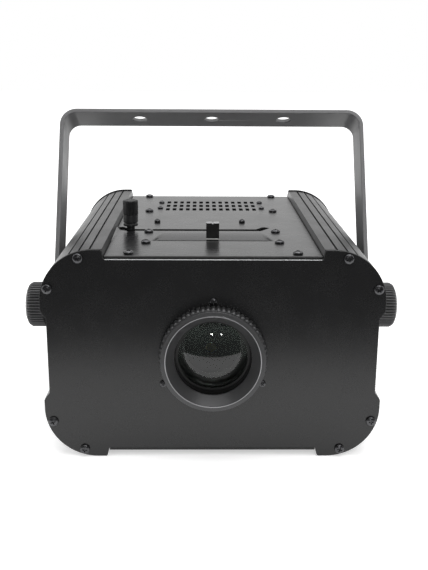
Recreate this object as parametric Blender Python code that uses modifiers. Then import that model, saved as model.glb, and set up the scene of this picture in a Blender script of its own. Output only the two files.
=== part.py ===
"""Gobo projector: a small stage light that throws a metal stencil's picture through a focusing lens.

Blender 4.5, metres, +Z up. The projector looks towards -Y, and +X is on the viewer's right. The empty
"optical_axis" stands where the lens axis crosses the front plate's face, and everything is placed from it.
"""

import math

import bmesh
import bpy
from mathutils import Vector

# Clearances
GAP = 0.0003
RUNNING_GAP = 0.0005

# Body: two ribbed side extrusions between a front and a rear plate
BODY_WIDTH = 0.245
BODY_HEIGHT = 0.157
BODY_DEPTH = 0.260
PLATE_THICKNESS = 0.0025
REAR_PLATE_GROW = 0.001
CORNER_RADIUS = 0.038
WALL = 0.003
SIDE_RECESS = 0.004
SIDE_RECESS_HALF_HEIGHT = 0.0285
SIDE_RECESS_SLANT = 0.005
CHANNEL_INSET = 0.044
CHANNEL_SLANT = 0.0018
TOP_NOTCH = 0.0070
BOTTOM_NOTCH = 0.0065
LEDGE_WIDTH = 0.006
GROOVE_COUNT = 3
GROOVE_FIRST_ANGLE = math.radians(2.5)
GROOVE_PITCH_ANGLE = math.radians(11.5)
GROOVE_WIDTH = 0.0016
GROOVE_DEPTH = 0.0014
PORT_RADIUS = 0.0036
PORT_HOLE_RADIUS = 0.0013
PORT_INSET = 0.0045
PORT_ANGLES = (math.radians(17.0), math.radians(73.0))

# Covers between the extrusions
SHEET = 0.0015
TOP_COVER_SINK = 0.005
BOTTOM_COVER_SINK = 0.0035
COVER_FLANGE = 0.009
VENT_COLUMNS = 14
INTAKE_COLUMNS = 7
VENT_ROWS = 3
VENT_PITCH_X = 0.00603
VENT_PITCH_Y = 0.018
VENT_SLOT_WIDTH = 0.003
VENT_SLOT_LENGTH = 0.0105
VENT_REAR_SPACE = 0.0585

# Zoom slot, thumb knob and cam
ZOOM_SLOT_Y = 0.0918
ZOOM_SLOT_WIDTH = 0.0056
ZOOM_SLOT_LEFT_INSET = 0.0089
ZOOM_SLOT_RIGHT_INSET = 0.0396
ZOOM_SLOT_END_RUN_X = 0.0073
ZOOM_SLOT_END_RUN_Y = 0.0110
ZOOM_KNOB_INSET = 0.0028
ZOOM_END_CLEARANCE = 0.0021
ZOOM_KNOB_RADIUS = 0.0060
ZOOM_KNOB_HEIGHT = 0.0240
ZOOM_KNOB_LIFT = 0.0025
ZOOM_BOSS_RADIUS = 0.0038
ZOOM_KNOB_RIBS = 12
ZOOM_COLLAR_HEIGHT = 0.003
ZOOM_GROOVE = 0.0009
ZOOM_STEM_RADIUS = 0.0022
CAM_PLATE_THICKNESS = 0.002
CAM_PLATE_DROP = 0.008
CAM_PLATE_MARGIN = 0.0075
CARRIAGE_TRAVEL = 0.016
CARRIAGE_FRONT_Y = 0.070
CARRIAGE_THICKNESS = 0.007
PIN_RADIUS = 0.0024

# Gobo slot, holder and gate
GOBO_SLOT_HALF_WIDTH = 0.0472
GOBO_SLOT_FRONT_Y = 0.0515
GOBO_SLOT_DEPTH_Y = 0.0095
RECESS_REAR_Y = 0.075
RECESS_REAR_HALF_WIDTH = 0.040
RECESS_DROP = 0.0042
HOLDER_WIDTH = 0.086
HOLDER_THICKNESS = 0.003
HOLDER_Y = 0.0563
HOLDER_BOTTOM_Z = -0.034
HOLDER_TOP_DROP = 0.007
HOLDER_WINDOW_RADIUS = 0.0225
HANDLE_WIDTH = 0.0098
HANDLE_HEIGHT = 0.0133
HANDLE_DEPTH = 0.0065
HANDLE_NOTCH = 0.0012
HANDLE_NECK_HEIGHT = 0.0012
GOBO_RADIUS = 0.0265
GOBO_THICKNESS = 0.0008
GOBO_STAR_POINTS = 6
GOBO_STAR_RADII = (0.0085, 0.0042)
GOBO_HOLE_CIRCLE = 0.0145
GOBO_HOLE_RADIUS = 0.0022
CLIP_WIDTH = 0.0022
CLIP_OPENING = math.radians(20.0)
GATE_ROD_MARGIN = 0.004
GATE_THICKNESS = 0.003
GATE_LIP = 0.004
GATE_TOP_DROP = 0.008

# Lens, focus ring and its flange
FLANGE_RADIUS = 0.0450
FLANGE_THICKNESS = 0.0025
FLANGE_SCREW_CIRCLE = 0.0414
FLANGE_SCREW_ANGLES = (math.radians(90.0), math.radians(210.0), math.radians(330.0))
FLANGE_TUBE_RADIUS = 0.0361
FLANGE_TUBE_LENGTH = 0.030
RING_RIM_RADIUS = 0.0374
RING_RIB_RADIUS = 0.0384
RING_RIBS = 30
RING_PROJECTION = 0.012
RING_RIM_WIDTH = 0.003
RING_MOUTH_RADIUS = 0.0332
RING_THROAT_RADIUS = 0.0279
RING_THROAT_PROJECTION = 0.0044
RING_SLEEVE_RADIUS = 0.0335
RING_SLEEVE_WALL = 0.0025
BARREL_WALL = 0.0030
BARREL_FRONT_Y = 0.0018
BARREL_LENGTH = 0.040
FOCUS_TRAVEL = 0.004
LENS_SEAT_DEPTH = 0.0025
LENS_EDGE = 0.004
LENS_CURVE_RADIUS = 0.060
REAR_LENS_CURVE_RADIUS = 0.080
RETAINER_WIDTH = 0.0024
RETAINER_THICKNESS = 0.0020

# Guide rods and condenser carriage
ROD_X = 0.052
ROD_RADIUS = 0.003
BUSH_RADIUS = 0.006
CONDENSER_RADIUS = 0.0255
CONDENSER_EDGE = 0.0025
CONDENSER_CURVE_RADIUS = 0.045
CELL_WALL = 0.0030

# Light engine
HEATSINK_FRONT_Y = 0.122
HEATSINK_BASE = 0.008
HEATSINK_WIDTH = 0.118
HEATSINK_REAR_SPACE = 0.038
HEATSINK_TOP_Z = 0.064
HEATSINK_FINS = 14
FIN_THICKNESS = 0.0018
LED_BOARD_SIZE = 0.040
LED_BOARD_THICKNESS = 0.002
LED_EMITTER_RADIUS = 0.011
LED_EMITTER_HEIGHT = 0.0015
COLLIMATOR_RADIUS = 0.024
COLLIMATOR_CURVE_RADIUS = 0.032
COLLIMATOR_FRONT_Y = 0.0985
COLLIMATOR_FLANGE = 0.008

# Tray and power supply
TRAY_TOP_Z = -0.0365
TRAY_HALF_WIDTH = 0.060
TRAY_FRONT_Y = 0.068
TRAY_REAR_SPACE = 0.024
SUPPLY_SIZE = (0.090, 0.120, 0.028)
SUPPLY_REAR_MARGIN = 0.011
SUPPLY_BEVEL = 0.001

# Fan and rear fittings
FAN_SIZE = 0.080
FAN_DEPTH = 0.025
FAN_BORE_RADIUS = 0.0375
FAN_HUB_RADIUS = 0.0165
FAN_BLADES = 7
FAN_Z = 0.018
FAN_BLADE_THICKNESS = 0.0014
FAN_BLADE_INSET = 0.003
FAN_BLADE_SINK = 0.0012
FAN_TIP_GAP = 0.0011
FAN_BLADE_SWEEP = math.radians(34.0)
FAN_BLADE_LEAN = math.radians(14.0)
FAN_STRUTS = 4
FAN_STRUT_WIDTH = 0.003
FAN_STRUT_ANGLE = math.radians(65.0)
FAN_SEAT_DEPTH = 0.003
FAN_CORNER_RADIUS = 0.006
FAN_SHAFT_RADIUS = 0.0015
FAN_SHAFT_REACH = 0.0025
FAN_SCREW_RADIUS = 0.0021
FAN_SCREW_INSET = 0.00425
GUARD_WIRE = 0.0018
GUARD_RINGS = 3
GUARD_INNER_RADIUS = 0.008
GUARD_OUTER_MARGIN = 0.001
GUARD_EYE_RADIUS = 0.004
INLET_SIZE = (0.0275, 0.0200)
INLET_FLANGE = (0.0310, 0.0240)
INLET_LIP = 0.003
INLET_BODY_DEPTH = 0.020
INLET_HOLLOW_DEPTH = 0.014
INLET_SOCKET = (0.0240, 0.0160)
INLET_SOCKET_CHAMFER = 0.0042
INLET_PIN = (0.002, 0.012, 0.004)
INLET_PIN_PITCH = 0.007
INLET_PIN_RISE = 0.002
INLET_X = -0.045
SWITCH_SIZE = (0.0190, 0.0130)
SWITCH_FLANGE = (0.0215, 0.0150)
SWITCH_LIP = 0.002
SWITCH_BODY_DEPTH = 0.014
SWITCH_WALL = 0.0012
ROCKER_CROWN = 0.0030
ROCKER_ROOT = 0.0040
ROCKER_SINK = 0.001
SWITCH_X = 0.012
FUSE_X = 0.048
FUSE_RADIUS = 0.0060
FUSE_WALL = 0.0012
FUSE_BODY_DEPTH = 0.020
FUSE_PLUG_DEPTH = 0.015
FUSE_CAP_RADIUS = 0.0072
FUSE_CAP_SET_IN = 0.001
FUSE_CAP_BEVEL = 0.0008
FUSE_CAP_SLOT = (0.0020, 0.0012)
FUSE_COLLAR = 0.0025
FUSE_CAP_HEIGHT = 0.0048
FITTINGS_Z = -0.049
ROCKER_TILT = math.radians(9.0)

# Yoke and its clamp knobs
PIVOT_Y = 0.087
PIVOT_Z = 0.0128
YOKE_LEAN = math.radians(26.6)
YOKE_LENGTH = 0.1630
YOKE_BAND = 0.0302
YOKE_THICKNESS = 0.0035
FRICTION_WASHER_THICKNESS = 0.0039
YOKE_BEND_RADIUS = 0.010
YOKE_HOLE_PITCH = 0.060
YOKE_HOLE_RADIUS = 0.0053
BOLT_RADIUS = 0.0046
WASHER_RADIUS = 0.0140
OUTER_WASHER_RADIUS = 0.0155
OUTER_WASHER_THICKNESS = 0.0056
CLAMP_KNOB_RADIUS = 0.0182
CLAMP_KNOB_THICKNESS = 0.0165
CLAMP_KNOB_RIBS = 18
CLAMP_RIB_DEPTH = 0.0009
CLAMP_KNOB_BEVEL = 0.0022
CLAMP_KNOB_CROWN = 0.0004
BOLT_POINT_BEVEL = 0.0008
WASHER_BEVEL = 0.0008
PIVOT_BLOCK = (0.007, 0.030, 0.026)

# Pan-head screws
SCREW_HEAD_RADIUS = 0.0034
SCREW_HEAD_HEIGHT = 0.0021
SCREW_CROWN_SHARE = 0.65
SCREW_CROWN_FALL = 0.00025
SCREW_RIM_SHARE = 0.3
SCREW_SHANK_RADIUS = 0.0011
SCREW_SHANK_LENGTH = 0.009
FLANGE_SCREW_SCALE = 0.8

# Places worked out from the sizes above
HALF_WIDTH = BODY_WIDTH / 2
HALF_HEIGHT = BODY_HEIGHT / 2
SIDE_FLAT_X = HALF_WIDTH - SIDE_RECESS
ARC_X = HALF_WIDTH - CORNER_RADIUS
ARC_Z = HALF_HEIGHT - CORNER_RADIUS
TOP_COVER_Z = HALF_HEIGHT - TOP_COVER_SINK
BOTTOM_COVER_Z = -HALF_HEIGHT + BOTTOM_COVER_SINK
COVER_UNDERSIDE_Z = TOP_COVER_Z - SHEET
FLOOR_Z = BOTTOM_COVER_Z + SHEET
TOP_LEDGE_Z = COVER_UNDERSIDE_Z - GAP
BOTTOM_LEDGE_Z = -FLOOR_Z - GAP
CHANNEL_HALF_WIDTH = HALF_WIDTH - CHANNEL_INSET
CHANNEL_FOOT_X = CHANNEL_HALF_WIDTH - CHANNEL_SLANT
ZOOM_SLOT_LEFT_X = -CHANNEL_FOOT_X + ZOOM_SLOT_LEFT_INSET
ZOOM_SLOT_RIGHT_X = CHANNEL_FOOT_X - ZOOM_SLOT_RIGHT_INSET
ZOOM_KNOB_X = ZOOM_SLOT_LEFT_X + ZOOM_KNOB_INSET
ZOOM_TRAVEL = ZOOM_SLOT_RIGHT_X - ZOOM_END_CLEARANCE - ZOOM_KNOB_X
GATE_WIDTH = 2 * (ROD_X + ROD_RADIUS + GATE_ROD_MARGIN)
LEDGE_TIP_X = CHANNEL_FOOT_X - LEDGE_WIDTH
COVER_HALF_WIDTH = CHANNEL_FOOT_X - GAP
EXTRUSION_FRONT_Y = PLATE_THICKNESS + GAP
EXTRUSION_REAR_Y = BODY_DEPTH - PLATE_THICKNESS - GAP
REAR_FITTINGS_Y = BODY_DEPTH + GAP
VENT_CENTRE_Y = BODY_DEPTH - VENT_REAR_SPACE
HEATSINK_REAR_Y = BODY_DEPTH - HEATSINK_REAR_SPACE
TRAY_REAR_Y = BODY_DEPTH - TRAY_REAR_SPACE
SUPPLY_CENTRE_Y = TRAY_REAR_Y - SUPPLY_REAR_MARGIN - SUPPLY_SIZE[1] / 2
FULL_DEPTH = RING_PROJECTION + REAR_FITTINGS_Y + FUSE_COLLAR + GAP + FUSE_CAP_HEIGHT
SLEEVE_INNER = RING_SLEEVE_RADIUS - RING_SLEEVE_WALL
BARREL_RADIUS = SLEEVE_INNER - GAP
BARREL_BORE = BARREL_RADIUS - BARREL_WALL
CAM_PLATE_TOP_Z = COVER_UNDERSIDE_Z - CAM_PLATE_DROP
CAM_SLOT_LEFT = -ZOOM_KNOB_X - ZOOM_TRAVEL
CAM_SLOT_RIGHT = -ZOOM_KNOB_X
YOKE_INNER_HALF_WIDTH = SIDE_FLAT_X + GAP + FRICTION_WASHER_THICKNESS + GAP
ARM_OUTER_X = YOKE_INNER_HALF_WIDTH + YOKE_THICKNESS
HOLDER_TOP_Z = COVER_UNDERSIDE_Z - HOLDER_TOP_DROP

TOWARDS_BACK = (-math.pi / 2, 0.0, 0.0)
TOWARDS_RIGHT = (0.0, math.pi / 2, 0.0)
TOWARDS_LEFT = (0.0, -math.pi / 2, 0.0)
UPRIGHT = (math.pi / 2, 0.0, 0.0)

SMOOTH_ANGLE = math.radians(35.0)
MERGE = 1e-5

# Shares of a rib's pitch
RIB_VALLEY = 0.30
RIB_FLANK = 0.12

# Facets round a large, a middling and a small turned piece
FACETS_LARGE = 30
FACETS_MIDDLE = 24
FACETS_SMALL = 14
FACETS_TINY = 6
FACETS_SCREW = 8


def clear_scene():
    """Remove every object of the startup scene."""
    for obj in list(bpy.data.objects):
        bpy.data.objects.remove(obj, do_unlink=True)


def make_collection(name):
    """Return a new collection linked to the scene."""
    collection = bpy.data.collections.new(name)
    bpy.context.scene.collection.children.link(collection)
    return collection


def make_material(name, colour, roughness, metallic=0.0, alpha=1.0):
    """Return a Principled material with a plain colour."""
    material = bpy.data.materials.new(name)
    material.use_nodes = True
    shader = material.node_tree.nodes["Principled BSDF"]
    shader.inputs["Base Color"].default_value = (*colour, 1.0)
    shader.inputs["Roughness"].default_value = roughness
    shader.inputs["Metallic"].default_value = metallic
    shader.inputs["Alpha"].default_value = alpha
    return material


clear_scene()
PARTS = make_collection("gobo_projector")
CUTTERS = make_collection("cutters")

POWDER_COAT = make_material("black_powder_coat", (0.020, 0.020, 0.021), 0.45)
ANODISED = make_material("black_anodised_aluminium", (0.028, 0.028, 0.030), 0.38, 0.9)
BLACK_STEEL = make_material("blackened_steel", (0.018, 0.018, 0.018), 0.35, 0.9)
BARE_ALUMINIUM = make_material("bare_aluminium", (0.60, 0.60, 0.61), 0.35, 1.0)
BARE_STEEL = make_material("ground_steel", (0.50, 0.50, 0.51), 0.22, 1.0)
BLACK_PLASTIC = make_material("black_nylon", (0.016, 0.016, 0.017), 0.50)
GLASS = make_material("coated_glass", (0.90, 0.96, 0.93), 0.02, 0.0, 0.35)
FIBRE = make_material("black_fibre_washer", (0.012, 0.012, 0.012), 0.75)
LED_YELLOW = make_material("phosphor", (0.80, 0.62, 0.12), 0.40)

AXIS = bpy.data.objects.new("optical_axis", None)
AXIS.location = (0.0, RING_PROJECTION - FULL_DEPTH / 2, HALF_HEIGHT)
PARTS.objects.link(AXIS)


def add_object(name, mesh, material=None, location=(0, 0, 0), rotation=(0, 0, 0), parent=AXIS):
    """Place a mesh as a part, or as a cutter where it has no material."""
    obj = bpy.data.objects.new(name, mesh)
    if material is None:
        CUTTERS.objects.link(obj)
        obj.hide_render = True
        obj.display_type = "WIRE"
    else:
        PARTS.objects.link(obj)
        mesh.materials.clear()
        mesh.materials.append(material)
    obj.parent = parent
    obj.location = location
    obj.rotation_euler = rotation
    return obj


def shade(mesh):
    """Shade a mesh smooth between its sharp edges."""
    mesh.shade_smooth()
    mesh.set_sharp_from_angle(angle=SMOOTH_ANGLE)


def box_mesh(name, size, centre=(0, 0, 0)):
    """Return a box of the given size about a centre."""
    work = bmesh.new()
    bmesh.ops.create_cube(work, size=1.0)
    bmesh.ops.scale(work, vec=Vector(size), verts=work.verts)
    bmesh.ops.translate(work, vec=Vector(centre), verts=work.verts)
    mesh = bpy.data.meshes.new(name)
    work.to_mesh(mesh)
    work.free()
    return mesh


def cylinder_mesh(name, radius, length, segments=FACETS_SMALL, base=0.0):
    """Return a cylinder along local Z that starts at height base."""
    work = bmesh.new()
    bmesh.ops.create_cone(work, cap_ends=True, segments=segments, radius1=radius, radius2=radius, depth=length)
    bmesh.ops.translate(work, vec=(0, 0, base + length / 2), verts=work.verts)
    mesh = bpy.data.meshes.new(name)
    work.to_mesh(mesh)
    work.free()
    shade(mesh)
    return mesh


def signed_area(points):
    """Return the area inside a closed outline, positive where it runs anticlockwise."""
    total = 0.0
    for (x0, y0), (x1, y1) in zip(points, points[1:] + points[:1]):
        total += x0 * y1 - x1 * y0
    return total / 2


def evaluated_mesh(obj, name):
    """Return the mesh that an object's modifiers or curve settings give, with its caps welded."""
    bpy.context.view_layer.update()
    graph = bpy.context.evaluated_depsgraph_get()
    mesh = bpy.data.meshes.new_from_object(obj.evaluated_get(graph))
    mesh.name = name
    work = bmesh.new()
    work.from_mesh(mesh)
    bmesh.ops.remove_doubles(work, verts=work.verts, dist=MERGE)
    bmesh.ops.dissolve_degenerate(work, edges=work.edges, dist=MERGE / 10)
    work.to_mesh(mesh)
    work.free()
    return mesh


def turned_mesh(name, profile, segments=FACETS_LARGE, closed=True):
    """Revolve a profile of (radius, height) points about local Z with a Screw modifier.

    A closed profile is a ring's section. An open one runs from the axis to the axis.
    """
    points = list(profile)
    if signed_area(points) > 0:
        points.reverse()
    work = bmesh.new()
    verts = [work.verts.new((radius, 0.0, height)) for radius, height in points]
    pairs = list(zip(verts, verts[1:]))
    if closed:
        pairs.append((verts[-1], verts[0]))
    for first, second in pairs:
        work.edges.new((first, second))
    mesh = bpy.data.meshes.new(name + "_profile")
    work.to_mesh(mesh)
    work.free()
    obj = bpy.data.objects.new(name + "_profile", mesh)
    CUTTERS.objects.link(obj)
    screw = obj.modifiers.new("turn", "SCREW")
    screw.steps = segments
    screw.render_steps = segments
    screw.use_merge_vertices = True
    screw.merge_threshold = MERGE
    screw.use_smooth_shade = False
    turned = evaluated_mesh(obj, name)
    bpy.data.objects.remove(obj)
    shade(turned)
    return turned


def outline_mesh(name, outlines, thickness):
    """Extrude flat outlines along local Z from 0 to thickness. Outlines inside another are holes."""
    curve = bpy.data.curves.new(name + "_outline", "CURVE")
    curve.dimensions = "2D"
    curve.fill_mode = "BOTH"
    curve.extrude = thickness / 2
    for outline in outlines:
        spline = curve.splines.new("POLY")
        spline.points.add(len(outline) - 1)
        for point, (x, y) in zip(spline.points, outline):
            point.co = (x, y, 0.0, 1.0)
        spline.use_cyclic_u = True
    obj = bpy.data.objects.new(name + "_outline", curve)
    CUTTERS.objects.link(obj)
    mesh = evaluated_mesh(obj, name)
    bpy.data.objects.remove(obj)
    work = bmesh.new()
    work.from_mesh(mesh)
    bmesh.ops.translate(work, vec=(0, 0, thickness / 2), verts=work.verts)
    bmesh.ops.recalc_face_normals(work, faces=work.faces)
    work.to_mesh(mesh)
    work.free()
    shade(mesh)
    return mesh


def circle(radius, centre=(0.0, 0.0), count=FACETS_MIDDLE):
    """Return points round a circle."""
    turns = [2 * math.pi * index / count for index in range(count)]
    return [(centre[0] + radius * math.cos(turn), centre[1] + radius * math.sin(turn)) for turn in turns]


def rectangle(width, height, centre=(0.0, 0.0)):
    """Return the corners of a rectangle."""
    x, y = centre
    return [
        (x - width / 2, y - height / 2),
        (x + width / 2, y - height / 2),
        (x + width / 2, y + height / 2),
        (x - width / 2, y + height / 2),
    ]


def ribbed_circle(outer, inner, ribs):
    """Return a round outline with flat-topped ribs between radii inner and outer."""
    shares = ((0.0, inner), (RIB_VALLEY, inner), (RIB_VALLEY + RIB_FLANK, outer), (1.0 - RIB_FLANK, outer))
    points = []
    for index in range(ribs):
        start = 2 * math.pi * index / ribs
        step = 2 * math.pi / ribs
        for share, radius in shares:
            turn = start + share * step
            points.append((radius * math.cos(turn), radius * math.sin(turn)))
    return points


def rounded_track(start, end, radius, steps=8):
    """Return the outline of a straight slot with round ends between two points."""
    heading = math.atan2(end[1] - start[1], end[0] - start[0])
    points = []
    for centre, first in ((end, heading - math.pi / 2), (start, heading + math.pi / 2)):
        for index in range(steps + 1):
            turn = first + math.pi * index / steps
            points.append((centre[0] + radius * math.cos(turn), centre[1] + radius * math.sin(turn)))
    return points


def boolean(obj, tool, operation="DIFFERENCE"):
    """Cut, join or intersect an object with a tool that is hidden from the render."""
    modifier = obj.modifiers.new(tool.name, "BOOLEAN")
    modifier.operation = operation
    modifier.object = tool
    return obj


def flange_screw_places(depth):
    """Return the centres of the lens flange's three screws at a depth."""
    radius = FLANGE_SCREW_CIRCLE
    return [(radius * math.cos(turn), depth, radius * math.sin(turn)) for turn in FLANGE_SCREW_ANGLES]


def cut_hole(obj, mesh, location=(0, 0, 0), rotation=(0, 0, 0)):
    """Cut a hidden tool out of a part."""
    return boolean(obj, add_object("cut_" + mesh.name, mesh, None, location, rotation, obj.parent))


def join_shape(obj, mesh, location=(0, 0, 0), rotation=(0, 0, 0)):
    """Join a hidden tool to a part."""
    return boolean(obj, add_object("join_" + mesh.name, mesh, None, location, rotation, obj.parent), "UNION")


def bevel(obj, width, segments=2, limit=math.radians(50.0)):
    """Round the sharp edges of a part."""
    modifier = obj.modifiers.new("rounded_edges", "BEVEL")
    modifier.width = width
    modifier.segments = segments
    modifier.limit_method = "ANGLE"
    modifier.angle_limit = limit
    return obj


def corner_arc(radius, grooves=True, step=math.radians(10.0)):
    """Return points of the upper right corner from its top to its side, with its lengthwise grooves."""
    half = GROOVE_WIDTH / 2 / CORNER_RADIUS
    count = GROOVE_COUNT if grooves else 0
    centres = [GROOVE_FIRST_ANGLE + index * GROOVE_PITCH_ANGLE for index in range(count)]
    spots = [(0.0, radius)]
    for centre in centres:
        low = radius - GROOVE_DEPTH
        spots += [(centre - half, radius), (centre - half, low)]
        spots += [(centre + half, low), (centre + half, radius)]
    start = centres[-1] + half if centres else 0.0
    count = max(1, round((math.pi / 2 - start) / step))
    spots += [(start + (math.pi / 2 - start) * (index + 1) / count, radius) for index in range(count)]
    return [(ARC_X + r * math.sin(turn), ARC_Z + r * math.cos(turn)) for turn, r in spots]


def side_path(grow=0.0, grooves=True):
    """Return the outer skin of the right side from its top corner to its bottom corner."""
    upper = corner_arc(CORNER_RADIUS + grow, grooves)
    bulge = HALF_WIDTH + grow
    flat = SIDE_FLAT_X + grow
    upper += [(bulge, SIDE_RECESS_HALF_HEIGHT + SIDE_RECESS_SLANT), (flat, SIDE_RECESS_HALF_HEIGHT)]
    return upper + [(x, -z) for x, z in reversed(upper)]


def ledge_lip(level):
    """Return the channel wall and the cover's ledge at a level, from the ledge's underside to the top."""
    return [
        (LEDGE_TIP_X, level - WALL),
        (LEDGE_TIP_X, level),
        (CHANNEL_FOOT_X, level),
        (CHANNEL_HALF_WIDTH, HALF_HEIGHT),
    ]


def ledge_inside(level):
    """Return the hidden side of the channel wall above a ledge."""
    return [(CHANNEL_HALF_WIDTH + WALL, HALF_HEIGHT - WALL), (CHANNEL_HALF_WIDTH, level - WALL)]


def extrusion_section():
    """Return the right extrusion's section: a grooved skin, two channel walls and two cover ledges."""
    outer = side_path()
    inner = side_path(-WALL, grooves=False)
    section = ledge_lip(TOP_LEDGE_Z) + outer
    section += [(x, -z) for x, z in reversed(ledge_lip(BOTTOM_LEDGE_Z))]
    section += [(x, -z) for x, z in reversed(ledge_inside(BOTTOM_LEDGE_Z))]
    section += list(reversed(inner))
    section += ledge_inside(TOP_LEDGE_Z)
    return section


def end_plate_outline(grow=0.0):
    """Return the outline of an end plate: both side skins, with the shallow channel between them."""
    top = [(CHANNEL_FOOT_X, HALF_HEIGHT - TOP_NOTCH), (CHANNEL_HALF_WIDTH, HALF_HEIGHT + grow)]
    bottom = [(CHANNEL_HALF_WIDTH, -HALF_HEIGHT - grow), (CHANNEL_FOOT_X, -HALF_HEIGHT + BOTTOM_NOTCH)]
    side = top + side_path(grow, grooves=False) + bottom
    return side + [(-x, z) for x, z in reversed(side)]


def port_places():
    """Return the eight screw places of an end plate."""
    radius = CORNER_RADIUS - PORT_INSET
    places = []
    for angle in PORT_ANGLES:
        x = ARC_X + radius * math.sin(angle)
        z = ARC_Z + radius * math.cos(angle)
        places += [(x, z), (x, -z), (-x, z), (-x, -z)]
    return places


def make_side_extrusion(name, side):
    """Make one ribbed side extrusion with screw ports along its corners and a hole for the yoke's bolt."""
    length = EXTRUSION_REAR_Y - EXTRUSION_FRONT_Y
    section = [(side * x, -z) for x, z in extrusion_section()]
    mesh = outline_mesh(name, [section], length)
    obj = add_object(name, mesh, POWDER_COAT, (0, EXTRUSION_FRONT_Y, 0), TOWARDS_BACK)
    for x, z in port_places():
        if x * side > 0:
            place = (x, EXTRUSION_FRONT_Y, z)
            join_shape(obj, cylinder_mesh(name + "_port", PORT_RADIUS, length, FACETS_TINY), place, TOWARDS_BACK)
            hole = cylinder_mesh(name + "_port_hole", PORT_HOLE_RADIUS, length + 2 * WALL, FACETS_TINY, -WALL)
            cut_hole(obj, hole, place, TOWARDS_BACK)
    radius = BOLT_RADIUS + RUNNING_GAP
    bolt_hole = cylinder_mesh(name + "_bolt_hole", radius, 4 * WALL, FACETS_SMALL, -2 * WALL)
    cut_hole(obj, bolt_hole, (side * SIDE_FLAT_X, PIVOT_Y, PIVOT_Z), TOWARDS_RIGHT)
    return obj


def make_front_plate():
    """Make the flat front plate with its lens hole and screw holes."""
    holes = [circle(SCREW_SHANK_RADIUS + GAP, (x, -z), FACETS_TINY) for x, z in port_places()]
    for x, _, z in flange_screw_places(0.0):
        holes.append(circle(SCREW_SHANK_RADIUS + GAP, (x, -z), FACETS_TINY))
    holes.append(circle(RING_SLEEVE_RADIUS + GAP, count=FACETS_LARGE))
    outline = [(x, -z) for x, z in end_plate_outline()]
    mesh = outline_mesh("front_plate", [outline] + holes, PLATE_THICKNESS)
    return add_object("front_plate", mesh, POWDER_COAT, (0, 0, 0), TOWARDS_BACK)


def make_rear_plate():
    """Make the rear plate, which stands a little proud except underneath, with its cut-outs."""
    holes = [circle(SCREW_SHANK_RADIUS + GAP, (x, -z), FACETS_TINY) for x, z in port_places()]
    holes.append(circle(FAN_BORE_RADIUS, (0.0, -FAN_Z), FACETS_LARGE))
    holes.append(rectangle(INLET_SIZE[0] + 2 * GAP, INLET_SIZE[1] + 2 * GAP, (INLET_X, -FITTINGS_Z)))
    holes.append(rectangle(SWITCH_SIZE[0] + 2 * GAP, SWITCH_SIZE[1] + 2 * GAP, (SWITCH_X, -FITTINGS_Z)))
    holes.append(circle(FUSE_RADIUS + GAP, (FUSE_X, -FITTINGS_Z), FACETS_SMALL))
    outline = [(x, -max(z, -HALF_HEIGHT)) for x, z in end_plate_outline(REAR_PLATE_GROW)]
    mesh = outline_mesh("rear_plate", [outline] + holes, PLATE_THICKNESS)
    return add_object("rear_plate", mesh, POWDER_COAT, (0, BODY_DEPTH - PLATE_THICKNESS, 0), TOWARDS_BACK)


def make_cover(name, outer_z, up):
    """Make a cover sheet with a flange at its front and rear that drops between the extrusions' ledges."""
    length = EXTRUSION_REAR_Y - EXTRUSION_FRONT_Y
    sheet = box_mesh(name, (2 * COVER_HALF_WIDTH, length, SHEET))
    middle = (EXTRUSION_FRONT_Y + EXTRUSION_REAR_Y) / 2
    obj = add_object(name, sheet, POWDER_COAT, (0, middle, outer_z - up * SHEET / 2))
    inset = GAP / 3
    reach = COVER_FLANGE - inset
    for end in (-1, 1):
        fold = box_mesh(name + "_fold", (2 * (LEDGE_TIP_X - GAP), SHEET, reach))
        place = (0, middle + end * (length / 2 - SHEET / 2 - inset), outer_z - up * (inset + reach / 2))
        join_shape(obj, fold, place)
    return obj


def vent_cutter_mesh(name, columns, pitch_x):
    """Return a field of lengthwise vent slots about its centre."""
    work = bmesh.new()
    outline = rectangle(VENT_SLOT_WIDTH, VENT_SLOT_LENGTH)
    for row in range(VENT_ROWS):
        for column in range(columns):
            x = (column - (columns - 1) / 2) * pitch_x
            y = (row - (VENT_ROWS - 1) / 2) * VENT_PITCH_Y
            verts = [work.verts.new((x + px, y + py, -2 * SHEET)) for px, py in outline]
            face = work.faces.new(verts)
            grown = bmesh.ops.extrude_face_region(work, geom=[face])
            raised = [item for item in grown["geom"] if isinstance(item, bmesh.types.BMVert)]
            bmesh.ops.translate(work, vec=(0, 0, 4 * SHEET), verts=raised)
    bmesh.ops.recalc_face_normals(work, faces=work.faces)
    mesh = bpy.data.meshes.new(name)
    work.to_mesh(mesh)
    work.free()
    return mesh


def zoom_slot_outline():
    """Return the zoom slot's outline: a straight run whose two ends turn backwards."""
    half = ZOOM_SLOT_WIDTH / 2
    turn = math.atan2(ZOOM_SLOT_END_RUN_Y, ZOOM_SLOT_END_RUN_X)
    mitre = half * math.tan(turn / 2)
    side = Vector((math.sin(turn), -math.cos(turn))) * half
    right = Vector((ZOOM_SLOT_RIGHT_X, ZOOM_SLOT_Y))
    right_end = right + Vector((ZOOM_SLOT_END_RUN_X, ZOOM_SLOT_END_RUN_Y))
    middle = (ZOOM_SLOT_LEFT_X + ZOOM_SLOT_RIGHT_X) / 2
    half_run = [
        (right.x + mitre, right.y - half),
        tuple(right_end + side),
        tuple(right_end - side),
        (right.x - mitre, right.y + half),
    ]
    return half_run + [(2 * middle - x, y) for x, y in reversed(half_run)]


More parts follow.
